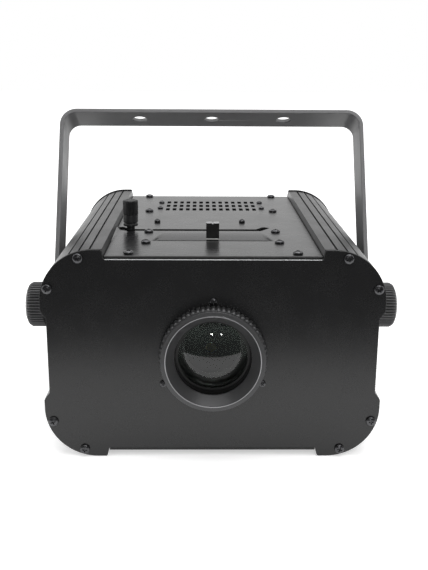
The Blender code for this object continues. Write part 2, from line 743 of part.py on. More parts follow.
def recess_ramp_mesh():
    """Return the pressed ramp behind the gobo slot: a centre panel and two slanted ends, one sheet thick."""
    rear = RECESS_REAR_Y + SHEET
    front = GOBO_SLOT_FRONT_Y + GOBO_SLOT_DEPTH_Y
    share = (RECESS_REAR_Y - front) / (RECESS_REAR_Y - GOBO_SLOT_FRONT_Y)
    side = RECESS_REAR_HALF_WIDTH + share * (GOBO_SLOT_HALF_WIDTH - RECESS_REAR_HALF_WIDTH) + SHEET
    foot = RECESS_REAR_HALF_WIDTH - RECESS_DROP / 2
    skin = -SHEET / 4
    work = bmesh.new()
    spots = [
        (-RECESS_REAR_HALF_WIDTH, rear, skin),
        (RECESS_REAR_HALF_WIDTH, rear, skin),
        (side, front, skin),
        (foot, front, skin - RECESS_DROP),
        (-foot, front, skin - RECESS_DROP),
        (-side, front, skin),
    ]
    verts = [work.verts.new(spot) for spot in spots]
    work.faces.new([verts[0], verts[4], verts[3], verts[1]])
    work.faces.new([verts[1], verts[3], verts[2]])
    work.faces.new([verts[0], verts[5], verts[4]])
    bmesh.ops.recalc_face_normals(work, faces=work.faces)
    mesh = bpy.data.meshes.new("recess_ramp")
    work.to_mesh(mesh)
    work.free()
    return mesh


def make_top_cover():
    """Make the top cover with its vent field, zoom slot, gobo slot and pressed finger recess."""
    obj = make_cover("top_cover", TOP_COVER_Z, 1)
    level = (0, 0, TOP_COVER_Z)
    vents = vent_cutter_mesh("top_vent", VENT_COLUMNS, VENT_PITCH_X)
    cut_hole(obj, vents, (0, VENT_CENTRE_Y, TOP_COVER_Z))
    slot = outline_mesh("zoom_slot", [zoom_slot_outline()], 4 * SHEET)
    cut_hole(obj, slot, (0, 0, TOP_COVER_Z - 3 * SHEET))
    mouth = [
        (-GOBO_SLOT_HALF_WIDTH, GOBO_SLOT_FRONT_Y),
        (GOBO_SLOT_HALF_WIDTH, GOBO_SLOT_FRONT_Y),
        (RECESS_REAR_HALF_WIDTH, RECESS_REAR_Y),
        (-RECESS_REAR_HALF_WIDTH, RECESS_REAR_Y),
    ]
    cut_hole(obj, outline_mesh("gobo_mouth", [mouth], 4 * SHEET), (0, 0, TOP_COVER_Z - 3 * SHEET))
    ramp = add_object("join_recess_ramp", recess_ramp_mesh(), None, level)
    sheet = ramp.modifiers.new("sheet", "SOLIDIFY")
    sheet.thickness = SHEET / 2
    sheet.offset = -1.0
    boolean(obj, ramp, "UNION")
    return obj


def make_bottom_cover():
    """Make the bottom cover with the air intake under the heatsink."""
    obj = make_cover("bottom_cover", BOTTOM_COVER_Z, -1)
    vents = vent_cutter_mesh("bottom_vent", INTAKE_COLUMNS, 2 * VENT_PITCH_X)
    cut_hole(obj, vents, (0, VENT_CENTRE_Y, BOTTOM_COVER_Z))
    return obj


def make_lens_flange():
    """Make the fixed flange: a ring screwed behind the front plate, with the tube that the focus ring turns in."""
    bore = RING_SLEEVE_RADIUS + GAP
    front = PLATE_THICKNESS + GAP
    back = front + FLANGE_THICKNESS
    profile = [
        (bore, front),
        (FLANGE_RADIUS, front),
        (FLANGE_RADIUS, back - GAP),
        (FLANGE_RADIUS - GAP, back),
        (FLANGE_TUBE_RADIUS, back),
        (FLANGE_TUBE_RADIUS, FLANGE_TUBE_LENGTH),
        (bore, FLANGE_TUBE_LENGTH),
    ]
    obj = add_object("lens_flange", turned_mesh("lens_flange", profile), ANODISED, (0, 0, 0), TOWARDS_BACK)
    radius = FLANGE_SCREW_SCALE * SCREW_SHANK_RADIUS + GAP
    length = 4 * back
    for place in flange_screw_places(0.0):
        hole = cylinder_mesh("flange_screw_hole", radius, length, FACETS_TINY, -length / 2)
        cut_hole(obj, hole, place, TOWARDS_BACK)
    return obj


def make_focus_ring():
    """Make the focus ring: a ribbed rim with a smooth lip, a conical mouth and a sleeve behind it."""
    back = -GAP
    front = -RING_PROJECTION
    rim_back = front + RING_RIM_WIDTH
    edge = RING_RIM_WIDTH / 6
    profile = [
        (RING_MOUTH_RADIUS + edge, front),
        (RING_RIM_RADIUS - edge, front),
        (RING_RIM_RADIUS, front + edge),
        (RING_RIM_RADIUS, back),
        (RING_SLEEVE_RADIUS, back),
        (RING_SLEEVE_RADIUS, FLANGE_TUBE_LENGTH),
        (SLEEVE_INNER, FLANGE_TUBE_LENGTH),
        (SLEEVE_INNER, -RING_THROAT_PROJECTION + RING_SLEEVE_WALL / 2),
        (RING_THROAT_RADIUS, -RING_THROAT_PROJECTION + RING_SLEEVE_WALL / 2),
        (RING_THROAT_RADIUS, -RING_THROAT_PROJECTION),
        (RING_MOUTH_RADIUS, front + edge),
    ]
    mesh = turned_mesh("focus_ring", profile, RING_RIBS)
    obj = add_object("focus_ring", mesh, ANODISED, (0, 0, 0), TOWARDS_BACK)
    ribs = ribbed_circle(RING_RIB_RADIUS, RING_RIM_RADIUS - GAP, RING_RIBS)
    bore = circle(RING_RIM_RADIUS - RING_RIM_WIDTH / 2, count=RING_RIBS)
    band = outline_mesh("focus_ribs", [ribs, bore], back - rim_back)
    join_shape(obj, band, (0, rim_back, 0), TOWARDS_BACK)
    return obj


def make_lens_barrel():
    """Make the sliding lens barrel with its two lens seats and the ears that run on the guide rods."""
    front = BARREL_FRONT_Y
    rear = front + BARREL_LENGTH
    shoulder = BARREL_BORE - LENS_SEAT_DEPTH
    radius = BARREL_BORE - GAP
    front_seat = front + retainer_setback(radius, LENS_CURVE_RADIUS) + LENS_EDGE + GAP
    rear_seat = rear - retainer_setback(radius, REAR_LENS_CURVE_RADIUS) - LENS_EDGE - GAP
    profile = [
        (BARREL_BORE, front),
        (BARREL_RADIUS, front),
        (BARREL_RADIUS, rear),
        (BARREL_BORE, rear),
        (BARREL_BORE, rear_seat),
        (shoulder, rear_seat),
        (shoulder, front_seat),
        (BARREL_BORE, front_seat),
    ]
    mesh = turned_mesh("lens_barrel", profile)
    obj = add_object("lens_barrel", mesh, ANODISED, (0, 0, 0), TOWARDS_BACK)
    ear_front = FLANGE_TUBE_LENGTH + FOCUS_TRAVEL + RUNNING_GAP
    add_rod_ears(obj, "barrel_ear", BARREL_RADIUS - BARREL_WALL / 2, ear_front, rear)
    return obj


def add_rod_ears(obj, name, inner_x, front, rear):
    """Join an arm and a bush on each side of a lens cell, bored for the guide rods."""
    length = rear - front
    for side in (-1, 1):
        arm = box_mesh(name, (ROD_X - inner_x, length, BUSH_RADIUS))
        join_shape(obj, arm, (side * (inner_x + ROD_X) / 2, (front + rear) / 2, 0))
        bush = cylinder_mesh(name + "_bush", BUSH_RADIUS, length)
        join_shape(obj, bush, (side * ROD_X, front, 0), TOWARDS_BACK)
        bore = cylinder_mesh(name + "_bore", ROD_RADIUS + GAP, 3 * length, FACETS_SMALL, -length)
        cut_hole(obj, bore, (side * ROD_X, front, 0), TOWARDS_BACK)


def lens_rise(radius, curve, spot):
    """Return how far a curved lens face stands above its edge plane at a radius."""
    return math.sqrt(curve**2 - spot**2) - math.sqrt(curve**2 - radius**2)


def retainer_setback(radius, curve):
    """Return how far behind its retaining ring's front face a curved lens face has its edge plane."""
    return RETAINER_THICKNESS + lens_rise(radius, curve, radius - RETAINER_WIDTH / 2) + GAP


def retainer_mesh(name, radius, segments):
    """Return a retaining ring, bevelled behind to clear the lens face that it holds."""
    ring = [
        (radius - RETAINER_WIDTH, 0.0),
        (radius, 0.0),
        (radius, RETAINER_THICKNESS),
        (radius - RETAINER_WIDTH / 2, RETAINER_THICKNESS),
    ]
    return turned_mesh(name, ring, segments)


def lens_mesh(name, radius, edge, front_curve, rear_curve, segments=FACETS_MIDDLE, steps=2):
    """Return a round lens about its edge's front plane. A curve of None is a flat face."""

    def face(curve, sign, height):
        if curve is None:
            return [(0.0, height), (radius, height)]
        deepest = math.asin(radius / curve)
        spots = []
        for index in range(steps + 1):
            turn = deepest * index / steps
            sag = curve * (math.cos(turn) - math.cos(deepest))
            spots.append((curve * math.sin(turn), height + sign * sag))
        return spots

    profile = face(front_curve, -1, 0.0) + list(reversed(face(rear_curve, 1, edge)))
    return turned_mesh(name, profile, segments, closed=False)


def make_lenses():
    """Make the objective's two lenses and the threaded ring that holds each of them."""
    radius = BARREL_BORE - GAP
    barrel_rear = BARREL_FRONT_Y + BARREL_LENGTH
    front_edge = BARREL_FRONT_Y + retainer_setback(radius, LENS_CURVE_RADIUS)
    rear_edge = barrel_rear - retainer_setback(radius, REAR_LENS_CURVE_RADIUS) - LENS_EDGE
    front = lens_mesh("front_lens", radius, LENS_EDGE, LENS_CURVE_RADIUS, None, FACETS_LARGE, 3)
    add_object("front_lens", front, GLASS, (0, front_edge, 0), TOWARDS_BACK)
    rear = lens_mesh("rear_lens", radius, LENS_EDGE, None, REAR_LENS_CURVE_RADIUS)
    add_object("rear_lens", rear, GLASS, (0, rear_edge, 0), TOWARDS_BACK)
    ring = retainer_mesh("front_retainer", radius, FACETS_LARGE)
    add_object("front_retainer", ring, ANODISED, (0, BARREL_FRONT_Y, 0), TOWARDS_BACK)
    ring = retainer_mesh("rear_retainer", radius, FACETS_MIDDLE)
    add_object("rear_retainer", ring, ANODISED, (0, barrel_rear, 0), UPRIGHT)


def make_guide_rods():
    """Make the two ground rods that carry the lens barrel and the condenser carriage."""
    front = PLATE_THICKNESS + GAP
    length = HEATSINK_FRONT_Y - GAP - front
    for name, side in (("guide_rod_left", -1), ("guide_rod_right", 1)):
        mesh = cylinder_mesh(name, ROD_RADIUS, length)
        add_object(name, mesh, BARE_STEEL, (side * ROD_X, front, 0), TOWARDS_BACK)


def make_gobo_gate():
    """Make the gate that stands behind the gobo: a plate with a window and a lipped guide on each side."""
    back = HOLDER_Y + HOLDER_THICKNESS / 2 + GAP
    top = COVER_UNDERSIDE_Z - GATE_TOP_DROP
    foot = FLOOR_Z + GAP
    height = top - foot
    centre_z = (top + foot) / 2
    window = circle(HOLDER_WINDOW_RADIUS + GAP, (0.0, centre_z))
    rods = [circle(ROD_RADIUS + GAP, (side * ROD_X, centre_z), FACETS_SMALL) for side in (-1, 1)]
    plate = outline_mesh("gobo_gate", [rectangle(GATE_WIDTH, height)] + [window] + rods, GATE_THICKNESS)
    obj = add_object("gobo_gate", plate, BLACK_STEEL, (0, back, centre_z), TOWARDS_BACK)
    slack = HOLDER_WIDTH / 2 + GAP
    front = HOLDER_Y - HOLDER_THICKNESS / 2 - GAP
    lip = GATE_LIP / 2
    web = [
        (slack, -GAP),
        (slack, back - front),
        (slack - GATE_LIP, back - front),
        (slack - GATE_LIP, back - front + lip),
        (slack + lip, back - front + lip),
        (slack + lip, -GAP - GATE_THICKNESS / 2),
        (slack, -GAP - GATE_THICKNESS / 2),
    ]
    guide_height = top - HOLDER_BOTTOM_Z
    for side in (-1, 1):
        outline = [(side * x, back - y) for x, y in web]
        guide = outline_mesh("gate_guide", [outline], guide_height)
        join_shape(obj, guide, (0, 0, HOLDER_BOTTOM_Z))
    stop = box_mesh("gate_stop", (HOLDER_WIDTH, back - front + GAP, GATE_LIP), (0, 0, -GATE_LIP / 2))
    join_shape(obj, stop, (0, (back + front + GAP) / 2, HOLDER_BOTTOM_Z - GAP))
    toe = box_mesh("gate_foot", (GATE_WIDTH, 4 * GATE_THICKNESS, GATE_THICKNESS), (0, 0, GATE_THICKNESS / 2))
    join_shape(obj, toe, (0, back - GATE_THICKNESS, foot))
    return obj


def make_gobo_holder():
    """Make the drop-in gobo holder: a plate with a stepped window and a notched handle above the cover."""
    base_y = HOLDER_Y + HOLDER_THICKNESS / 2
    handle_top = TOP_COVER_Z + HANDLE_HEIGHT
    neck = HANDLE_WIDTH / 2 - GAP
    chamfer = GATE_LIP
    half = HOLDER_WIDTH / 2
    outline = [
        (-half, HOLDER_BOTTOM_Z + chamfer),
        (-half + chamfer, HOLDER_BOTTOM_Z),
        (half - chamfer, HOLDER_BOTTOM_Z),
        (half, HOLDER_BOTTOM_Z + chamfer),
        (half, HOLDER_TOP_Z),
        (neck, HOLDER_TOP_Z),
        (neck, handle_top - 2 * HANDLE_NOTCH),
        (-neck, handle_top - 2 * HANDLE_NOTCH),
        (-neck, HOLDER_TOP_Z),
        (-half, HOLDER_TOP_Z),
    ]
    mesh = outline_mesh("gobo_holder", [outline, circle(HOLDER_WINDOW_RADIUS)], HOLDER_THICKNESS)
    obj = add_object("gobo_holder", mesh, BLACK_STEEL, (0, base_y, 0), UPRIGHT)
    seat_depth = 2 * GOBO_THICKNESS + 2 * GAP
    seat = cylinder_mesh("gobo_seat", GOBO_RADIUS + GAP, 2 * seat_depth, FACETS_MIDDLE, -seat_depth)
    cut_hole(obj, seat, (0, HOLDER_Y - HOLDER_THICKNESS / 2, 0), TOWARDS_BACK)
    grip = [
        (-HANDLE_WIDTH / 2, TOP_COVER_Z + HANDLE_NECK_HEIGHT),
        (HANDLE_WIDTH / 2, TOP_COVER_Z + HANDLE_NECK_HEIGHT),
        (HANDLE_WIDTH / 2, handle_top),
        (HANDLE_NOTCH, handle_top),
        (0.0, handle_top - HANDLE_NOTCH),
        (-HANDLE_NOTCH, handle_top),
        (-HANDLE_WIDTH / 2, handle_top),
    ]
    front = HOLDER_Y - HOLDER_THICKNESS / 2 - GAP
    join_shape(obj, outline_mesh("handle", [grip], HANDLE_DEPTH), (0, front + HANDLE_DEPTH, 0), UPRIGHT)
    return obj


def make_gobo():
    """Make the stencil disc, cut with a plain pattern of a star among round holes, and its clip ring."""
    step = math.pi / GOBO_STAR_POINTS
    star = []
    for index in range(2 * GOBO_STAR_POINTS):
        radius = GOBO_STAR_RADII[index % 2]
        star.append((radius * math.cos(index * step), radius * math.sin(index * step)))
    holes = [star]
    for index in range(GOBO_STAR_POINTS):
        turn = (2 * index + 1) * step
        centre = (GOBO_HOLE_CIRCLE * math.cos(turn), GOBO_HOLE_CIRCLE * math.sin(turn))
        holes.append(circle(GOBO_HOLE_RADIUS, centre, FACETS_SCREW))
    disc = outline_mesh("gobo_disc", [circle(GOBO_RADIUS)] + holes, GOBO_THICKNESS)
    front = HOLDER_Y - HOLDER_THICKNESS / 2
    add_object("gobo_disc", disc, BARE_STEEL, (0, front + GOBO_THICKNESS + GAP, 0), TOWARDS_BACK)
    sweep = 2 * math.pi - CLIP_OPENING
    turns = [CLIP_OPENING / 2 + sweep * index / FACETS_MIDDLE for index in range(FACETS_MIDDLE + 1)]
    ring = [(GOBO_RADIUS * math.cos(turn), GOBO_RADIUS * math.sin(turn)) for turn in turns]
    inner = GOBO_RADIUS - CLIP_WIDTH
    ring += [(inner * math.cos(turn), inner * math.sin(turn)) for turn in reversed(turns)]
    clip = outline_mesh("gobo_clip", [ring], GOBO_THICKNESS)
    add_object("gobo_clip", clip, BARE_STEEL, (0, front, 0), TOWARDS_BACK)


def make_condenser_carriage():
    """Make the condenser's cell on its guide rods, with the pin that the cam plate drives."""
    front = CARRIAGE_FRONT_Y - CARRIAGE_THICKNESS / 2
    rear = CARRIAGE_FRONT_Y + CARRIAGE_THICKNESS / 2
    outer = CONDENSER_RADIUS + CELL_WALL
    setback = retainer_setback(CONDENSER_RADIUS, CONDENSER_CURVE_RADIUS)
    seat = front + setback + CONDENSER_EDGE + GAP
    profile = [
        (CONDENSER_RADIUS + GAP, front),
        (outer, front),
        (outer, rear),
        (CONDENSER_RADIUS - CELL_WALL / 2, rear),
        (CONDENSER_RADIUS - CELL_WALL / 2, seat),
        (CONDENSER_RADIUS + GAP, seat),
    ]
    cell = turned_mesh("zoom_carriage", profile, FACETS_MIDDLE)
    origin = Vector((0, CARRIAGE_FRONT_Y, 0))
    obj = add_object("zoom_carriage", cell, ANODISED, (0, 0, 0), TOWARDS_BACK)
    add_rod_ears(obj, "carriage_ear", CONDENSER_RADIUS + CELL_WALL / 2, front, rear)
    post_top = CAM_PLATE_TOP_Z - CAM_PLATE_THICKNESS - GAP
    post_foot = CONDENSER_RADIUS + CELL_WALL / 2
    size = (4 * PIN_RADIUS, CARRIAGE_THICKNESS, post_top - post_foot)
    join_shape(obj, box_mesh("cam_post", size), origin + Vector((0, 0, (post_top + post_foot) / 2)))
    reach = CAM_PLATE_THICKNESS + 3 * GAP + PIN_RADIUS
    pin = cylinder_mesh("cam_pin", PIN_RADIUS, reach, FACETS_SMALL, -PIN_RADIUS / 2)
    join_shape(obj, pin, origin + Vector((0, 0, post_top)))
    glass = lens_mesh("condenser_lens", CONDENSER_RADIUS, CONDENSER_EDGE, CONDENSER_CURVE_RADIUS, None)
    add_object("condenser_lens", glass, GLASS, (0, front + setback, 0), TOWARDS_BACK)
    ring = retainer_mesh("condenser_retainer", CONDENSER_RADIUS, FACETS_MIDDLE)
    add_object("condenser_retainer", ring, ANODISED, (0, front, 0), TOWARDS_BACK)


def make_zoom_slide():
    """Make the cam plate under the top cover, with the stem that rises through the cover's slot."""
    front = CARRIAGE_FRONT_Y - CAM_PLATE_MARGIN
    rear = ZOOM_SLOT_Y + CAM_PLATE_MARGIN
    left = CAM_SLOT_LEFT - CAM_PLATE_MARGIN
    right = CAM_SLOT_RIGHT + CAM_PLATE_MARGIN
    shoulder_y = front + 2 * CAM_PLATE_MARGIN
    plate = [(left, shoulder_y), (left, rear), (CAM_PLATE_MARGIN, rear), (right, shoulder_y), (right, front)]
    plate.append((0.0, front))
    track = rounded_track(
        (CAM_SLOT_LEFT, CARRIAGE_FRONT_Y + CARRIAGE_TRAVEL),
        (CAM_SLOT_RIGHT, CARRIAGE_FRONT_Y),
        PIN_RADIUS + GAP,
    )
    outlines = [[(x, y - ZOOM_SLOT_Y) for x, y in outline] for outline in (plate, track)]
    mesh = outline_mesh("zoom_cam_plate", outlines, CAM_PLATE_THICKNESS)
    place = Vector((ZOOM_KNOB_X, ZOOM_SLOT_Y, CAM_PLATE_TOP_Z - CAM_PLATE_THICKNESS))
    obj = add_object("zoom_cam_plate", mesh, BLACK_STEEL, place)
    foot = CAM_PLATE_THICKNESS / 2
    shoulder_height = CAM_PLATE_DROP + foot - GAP
    shoulder = cylinder_mesh("stem_shoulder", 2 * ZOOM_STEM_RADIUS, shoulder_height, FACETS_SMALL, foot)
    join_shape(obj, shoulder, place)
    stem_foot = place.z + CAM_PLATE_THICKNESS
    stem = cylinder_mesh("stem", ZOOM_STEM_RADIUS, TOP_COVER_Z + ZOOM_KNOB_HEIGHT / 2 - stem_foot)
    join_shape(obj, stem, (place.x, place.y, stem_foot))


def make_zoom_knob():
    """Make the thumb knob on the stem: a boss, a collar, a groove and a ribbed grip."""
    seat = Vector((ZOOM_KNOB_X, ZOOM_SLOT_Y, TOP_COVER_Z + GAP))
    height = ZOOM_KNOB_HEIGHT
    collar = ZOOM_KNOB_LIFT + ZOOM_COLLAR_HEIGHT
    core = ZOOM_KNOB_RADIUS - GAP
    groove = core - ZOOM_GROOVE
    bore = ZOOM_STEM_RADIUS + GAP
    bore_top = height / 2 + 2 * GAP
    profile = [
        (0.0, height),
        (core - ZOOM_GROOVE / 2, height),
        (core, height - ZOOM_GROOVE),
        (core, collar + ZOOM_GROOVE / 2),
        (groove, collar + ZOOM_GROOVE / 4),
        (groove, collar - ZOOM_GROOVE / 4),
        (core, collar - ZOOM_GROOVE / 2),
        (core, ZOOM_KNOB_LIFT),
        (ZOOM_BOSS_RADIUS, ZOOM_KNOB_LIFT),
        (ZOOM_BOSS_RADIUS, 0.0),
        (bore, 0.0),
        (bore, bore_top),
        (0.0, bore_top),
    ]
    mesh = turned_mesh("zoom_knob", profile, ZOOM_KNOB_RIBS, closed=False)
    knob = add_object("zoom_knob", mesh, BLACK_PLASTIC, seat)
    ribs = ribbed_circle(ZOOM_KNOB_RADIUS, groove, ZOOM_KNOB_RIBS)
    hollow = circle(groove - 2 * GAP, count=ZOOM_KNOB_RIBS)
    grip_foot = collar + ZOOM_GROOVE
    grip = outline_mesh("knob_ribs", [ribs, hollow], height - ZOOM_GROOVE - GAP - grip_foot)
    join_shape(knob, grip, seat + Vector((0, 0, grip_foot)))


def make_light_engine():
    """Make the finned heatsink, the LED module on its face and the fixed collimator in front of it."""
    foot = TRAY_TOP_Z + GAP
    height = HEATSINK_TOP_Z - foot
    pitch = (HEATSINK_WIDTH - FIN_THICKNESS) / (HEATSINK_FINS - 1)
    depth = HEATSINK_REAR_Y - HEATSINK_FRONT_Y
    half = HEATSINK_WIDTH / 2
    outline = [(-half, 0.0), (half, 0.0)]
    for index in reversed(range(HEATSINK_FINS)):
        x = -half + index * pitch
        outline += [(x + FIN_THICKNESS, HEATSINK_BASE), (x + FIN_THICKNESS, depth), (x, depth), (x, HEATSINK_BASE)]
    outline = [spot for spot in outline if spot not in ((half, HEATSINK_BASE), (-half, HEATSINK_BASE))]
    mesh = outline_mesh("heatsink", [outline], height)
    add_object("heatsink", mesh, ANODISED, (0, HEATSINK_FRONT_Y, foot))
    board_front = HEATSINK_FRONT_Y - GAP - LED_BOARD_THICKNESS
    board = box_mesh("led_module", (LED_BOARD_SIZE, LED_BOARD_THICKNESS, LED_BOARD_SIZE))
    led = add_object("led_module", board, BARE_ALUMINIUM, (0, board_front + LED_BOARD_THICKNESS / 2, 0))
    dome = cylinder_mesh("emitter", LED_EMITTER_RADIUS, 2 * LED_EMITTER_HEIGHT, FACETS_SMALL, -LED_EMITTER_HEIGHT)
    join_shape(led, dome, (0, board_front, 0), TOWARDS_BACK)
    rear = board_front - GAP
    front = COLLIMATOR_FRONT_Y
    bore = COLLIMATOR_RADIUS + GAP
    outer = bore + CELL_WALL
    flange = LED_BOARD_SIZE * math.sqrt(0.5) + CELL_WALL / 2
    seat = front + 2 * CELL_WALL
    profile = [
        (bore, front),
        (outer, front),
        (outer, rear - COLLIMATOR_FLANGE / 2),
        (flange, rear - COLLIMATOR_FLANGE / 2),
        (flange, rear),
        (bore - CELL_WALL, rear),
        (bore - CELL_WALL, seat),
        (bore, seat),
    ]
    holder = turned_mesh("collimator_holder", profile, FACETS_MIDDLE)
    add_object("collimator_holder", holder, ANODISED, (0, 0, 0), TOWARDS_BACK)
    lens = lens_mesh("collimator_lens", COLLIMATOR_RADIUS, CELL_WALL, COLLIMATOR_CURVE_RADIUS, None)
    add_object("collimator_lens", lens, GLASS, (0, seat - CELL_WALL - GAP, 0), TOWARDS_BACK)


def make_tray_and_supply():
    """Make the folded tray that carries the heatsink, with the power supply in the tunnel under it."""
    half = TRAY_HALF_WIDTH
    legs = FLOOR_Z + GAP
    fold = TRAY_TOP_Z - SHEET
    section = [
        (-half, legs),
        (-half, TRAY_TOP_Z),
        (half, TRAY_TOP_Z),
        (half, legs),
        (half - SHEET, legs),
        (half - SHEET, fold),
        (-half + SHEET, fold),
        (-half + SHEET, legs),
    ]
    outline = [(x, -z) for x, z in section]
    mesh = outline_mesh("base_tray", [outline], TRAY_REAR_Y - TRAY_FRONT_Y)
    add_object("base_tray", mesh, BARE_ALUMINIUM, (0, TRAY_FRONT_Y, 0), TOWARDS_BACK)
    supply = box_mesh("power_supply", SUPPLY_SIZE, (0, 0, SUPPLY_SIZE[2] / 2))
    obj = add_object("power_supply", supply, BARE_ALUMINIUM, (0, SUPPLY_CENTRE_Y, FLOOR_Z + GAP))
    bevel(obj, SUPPLY_BEVEL, 1)


def make_fan():
    """Make the axial fan: frame with struts and hub seat, impeller on its shaft, and the wire guard."""
    rear = BODY_DEPTH - PLATE_THICKNESS - GAP
    front = rear - FAN_DEPTH
    seat_front = rear - FAN_SEAT_DEPTH
    screw = FAN_SIZE / 2 - FAN_SCREW_INSET
    holes = [circle(FAN_BORE_RADIUS, count=FACETS_LARGE)]
    holes += [circle(FAN_SCREW_RADIUS, (sx * screw, sy * screw), FACETS_TINY) for sx in (-1, 1) for sy in (-1, 1)]
    mesh = outline_mesh("fan_frame", [rounded_square(FAN_SIZE, FAN_CORNER_RADIUS)] + holes, FAN_DEPTH)
    frame = add_object("fan_frame", mesh, BLACK_PLASTIC, (0, front, FAN_Z), TOWARDS_BACK)
    hub_seat = cylinder_mesh("fan_motor_seat", FAN_HUB_RADIUS, FAN_SEAT_DEPTH)
    join_shape(frame, hub_seat, (0, seat_front, FAN_Z), TOWARDS_BACK)
    reach = (FAN_BORE_RADIUS + FAN_HUB_RADIUS) / 2
    length = FAN_BORE_RADIUS - FAN_HUB_RADIUS + FAN_STRUT_WIDTH
    for index in range(FAN_STRUTS):
        turn = FAN_STRUT_ANGLE + 2 * math.pi * index / FAN_STRUTS
        strut = box_mesh("fan_strut", (length, FAN_STRUT_WIDTH, FAN_SEAT_DEPTH))
        centre = (reach * math.cos(turn), (seat_front + rear) / 2, FAN_Z + reach * math.sin(turn))
        join_shape(frame, strut, centre, (math.pi / 2, -turn, 0.0))
    bore_length = 4 * FAN_SEAT_DEPTH
    bore = cylinder_mesh("fan_shaft_bore", FAN_SHAFT_RADIUS + GAP, bore_length, FACETS_TINY, -bore_length / 2)
    cut_hole(frame, bore, (0, seat_front, FAN_Z), TOWARDS_BACK)
    make_impeller(front + RUNNING_GAP, seat_front - RUNNING_GAP)
    make_fan_guard()


def rounded_square(size, corner, steps=4):
    """Return the outline of a square with round corners."""
    points = []
    reach = size / 2 - corner
    for index, (side_x, side_y) in enumerate(((1, 1), (-1, 1), (-1, -1), (1, -1))):
        for step in range(steps + 1):
            turn = math.pi / 2 * (index + step / steps)
            points.append((side_x * reach + corner * math.cos(turn), side_y * reach + corner * math.sin(turn)))
    return points


def make_impeller(front, rear):
    """Make the impeller: a hub cup with twisted blades and a stub shaft behind."""
    depth = rear - front
    bevel_width = FAN_BLADE_INSET / 3
    profile = [
        (0.0, 0.0),
        (FAN_HUB_RADIUS - bevel_width, 0.0),
        (FAN_HUB_RADIUS, bevel_width),
        (FAN_HUB_RADIUS, depth),
        (FAN_SHAFT_RADIUS, depth),
        (FAN_SHAFT_RADIUS, depth + FAN_SHAFT_REACH),
        (0.0, depth + FAN_SHAFT_REACH),
    ]
    mesh = turned_mesh("fan_impeller", profile, FACETS_SMALL, closed=False)
    hub = add_object("fan_impeller", mesh, BLACK_PLASTIC, (0, front, FAN_Z), TOWARDS_BACK)
    blades = add_object("join_fan_blades", blade_mesh(depth), None, (0, front, FAN_Z), TOWARDS_BACK)
    thick = blades.modifiers.new("thickness", "SOLIDIFY")
    thick.thickness = FAN_BLADE_THICKNESS
    thick.offset = 0.0
    boolean(hub, blades, "UNION")


def blade_mesh(depth, spans=3):
    """Return open, twisted blade surfaces round the hub, without thickness."""
    work = bmesh.new()
    root = FAN_HUB_RADIUS - FAN_BLADE_SINK
    tip = FAN_BORE_RADIUS - FAN_TIP_GAP
    for index in range(FAN_BLADES):
        start = 2 * math.pi * index / FAN_BLADES
        rows = []
        for span in range(spans + 1):
            share = span / spans
            radius = root + (tip - root) * share
            row = []
            for chord in (0.0, 0.5, 1.0):
                turn = start + FAN_BLADE_LEAN * share + FAN_BLADE_SWEEP * chord
                height = FAN_BLADE_INSET + (depth - 2 * FAN_BLADE_INSET) * (1.0 - chord)
                row.append(work.verts.new((radius * math.cos(turn), radius * math.sin(turn), height)))
            rows.append(row)
        for low, high in zip(rows, rows[1:]):
            for side in range(2):
                work.faces.new([low[side], low[side + 1], high[side + 1], high[side]])
    bmesh.ops.recalc_face_normals(work, faces=work.faces)
    mesh = bpy.data.meshes.new("fan_blades")
    work.to_mesh(mesh)
    work.free()
    return mesh


def make_fan_guard():
    """Make the finger guard: square-section wire rings on a cross of four arms with screw eyes."""
    face = REAR_FITTINGS_Y
    inner = GUARD_INNER_RADIUS
    outer = FAN_BORE_RADIUS + GUARD_OUTER_MARGIN
    eye = FAN_SIZE / 2 - FAN_SCREW_INSET
    arm_length = math.hypot(eye, eye)
    ring_face = face + GUARD_WIRE
    centre_ring = circle_ring("fan_guard", inner, GUARD_WIRE)
    guard = add_object("fan_guard", centre_ring, BARE_STEEL, (0, ring_face, FAN_Z), TOWARDS_BACK)
    for index in range(1, GUARD_RINGS):
        radius = inner + (outer - inner) * index / (GUARD_RINGS - 1)
        join_shape(guard, circle_ring("guard_ring", radius, GUARD_WIRE), (0, ring_face, FAN_Z), TOWARDS_BACK)
    arm_width = GUARD_WIRE + 2 * GAP
    for index in range(4):
        turn = math.pi / 4 + math.pi / 2 * index
        reach = (arm_length + inner) / 2
        arm = box_mesh("guard_arm", (arm_length - inner, arm_width, GUARD_WIRE), (0, 0, 0))
        centre = (reach * math.cos(turn), face + GAP / 2 + GUARD_WIRE / 2, FAN_Z + reach * math.sin(turn))
        join_shape(guard, arm, centre, (math.pi / 2, -turn, 0.0))
        tab = cylinder_mesh("guard_eye", GUARD_EYE_RADIUS, GUARD_WIRE - GAP / 2, FACETS_TINY)
        spot = (arm_length * math.cos(turn), face, FAN_Z + arm_length * math.sin(turn))
        join_shape(guard, tab, spot, TOWARDS_BACK)


def circle_ring(name, radius, wire):
    """Return a square-section ring."""
    half = wire / 2
    profile = [(radius - half, 0.0), (radius + half, 0.0), (radius + half, wire), (radius - half, wire)]
    return turned_mesh(name, profile, FACETS_MIDDLE)


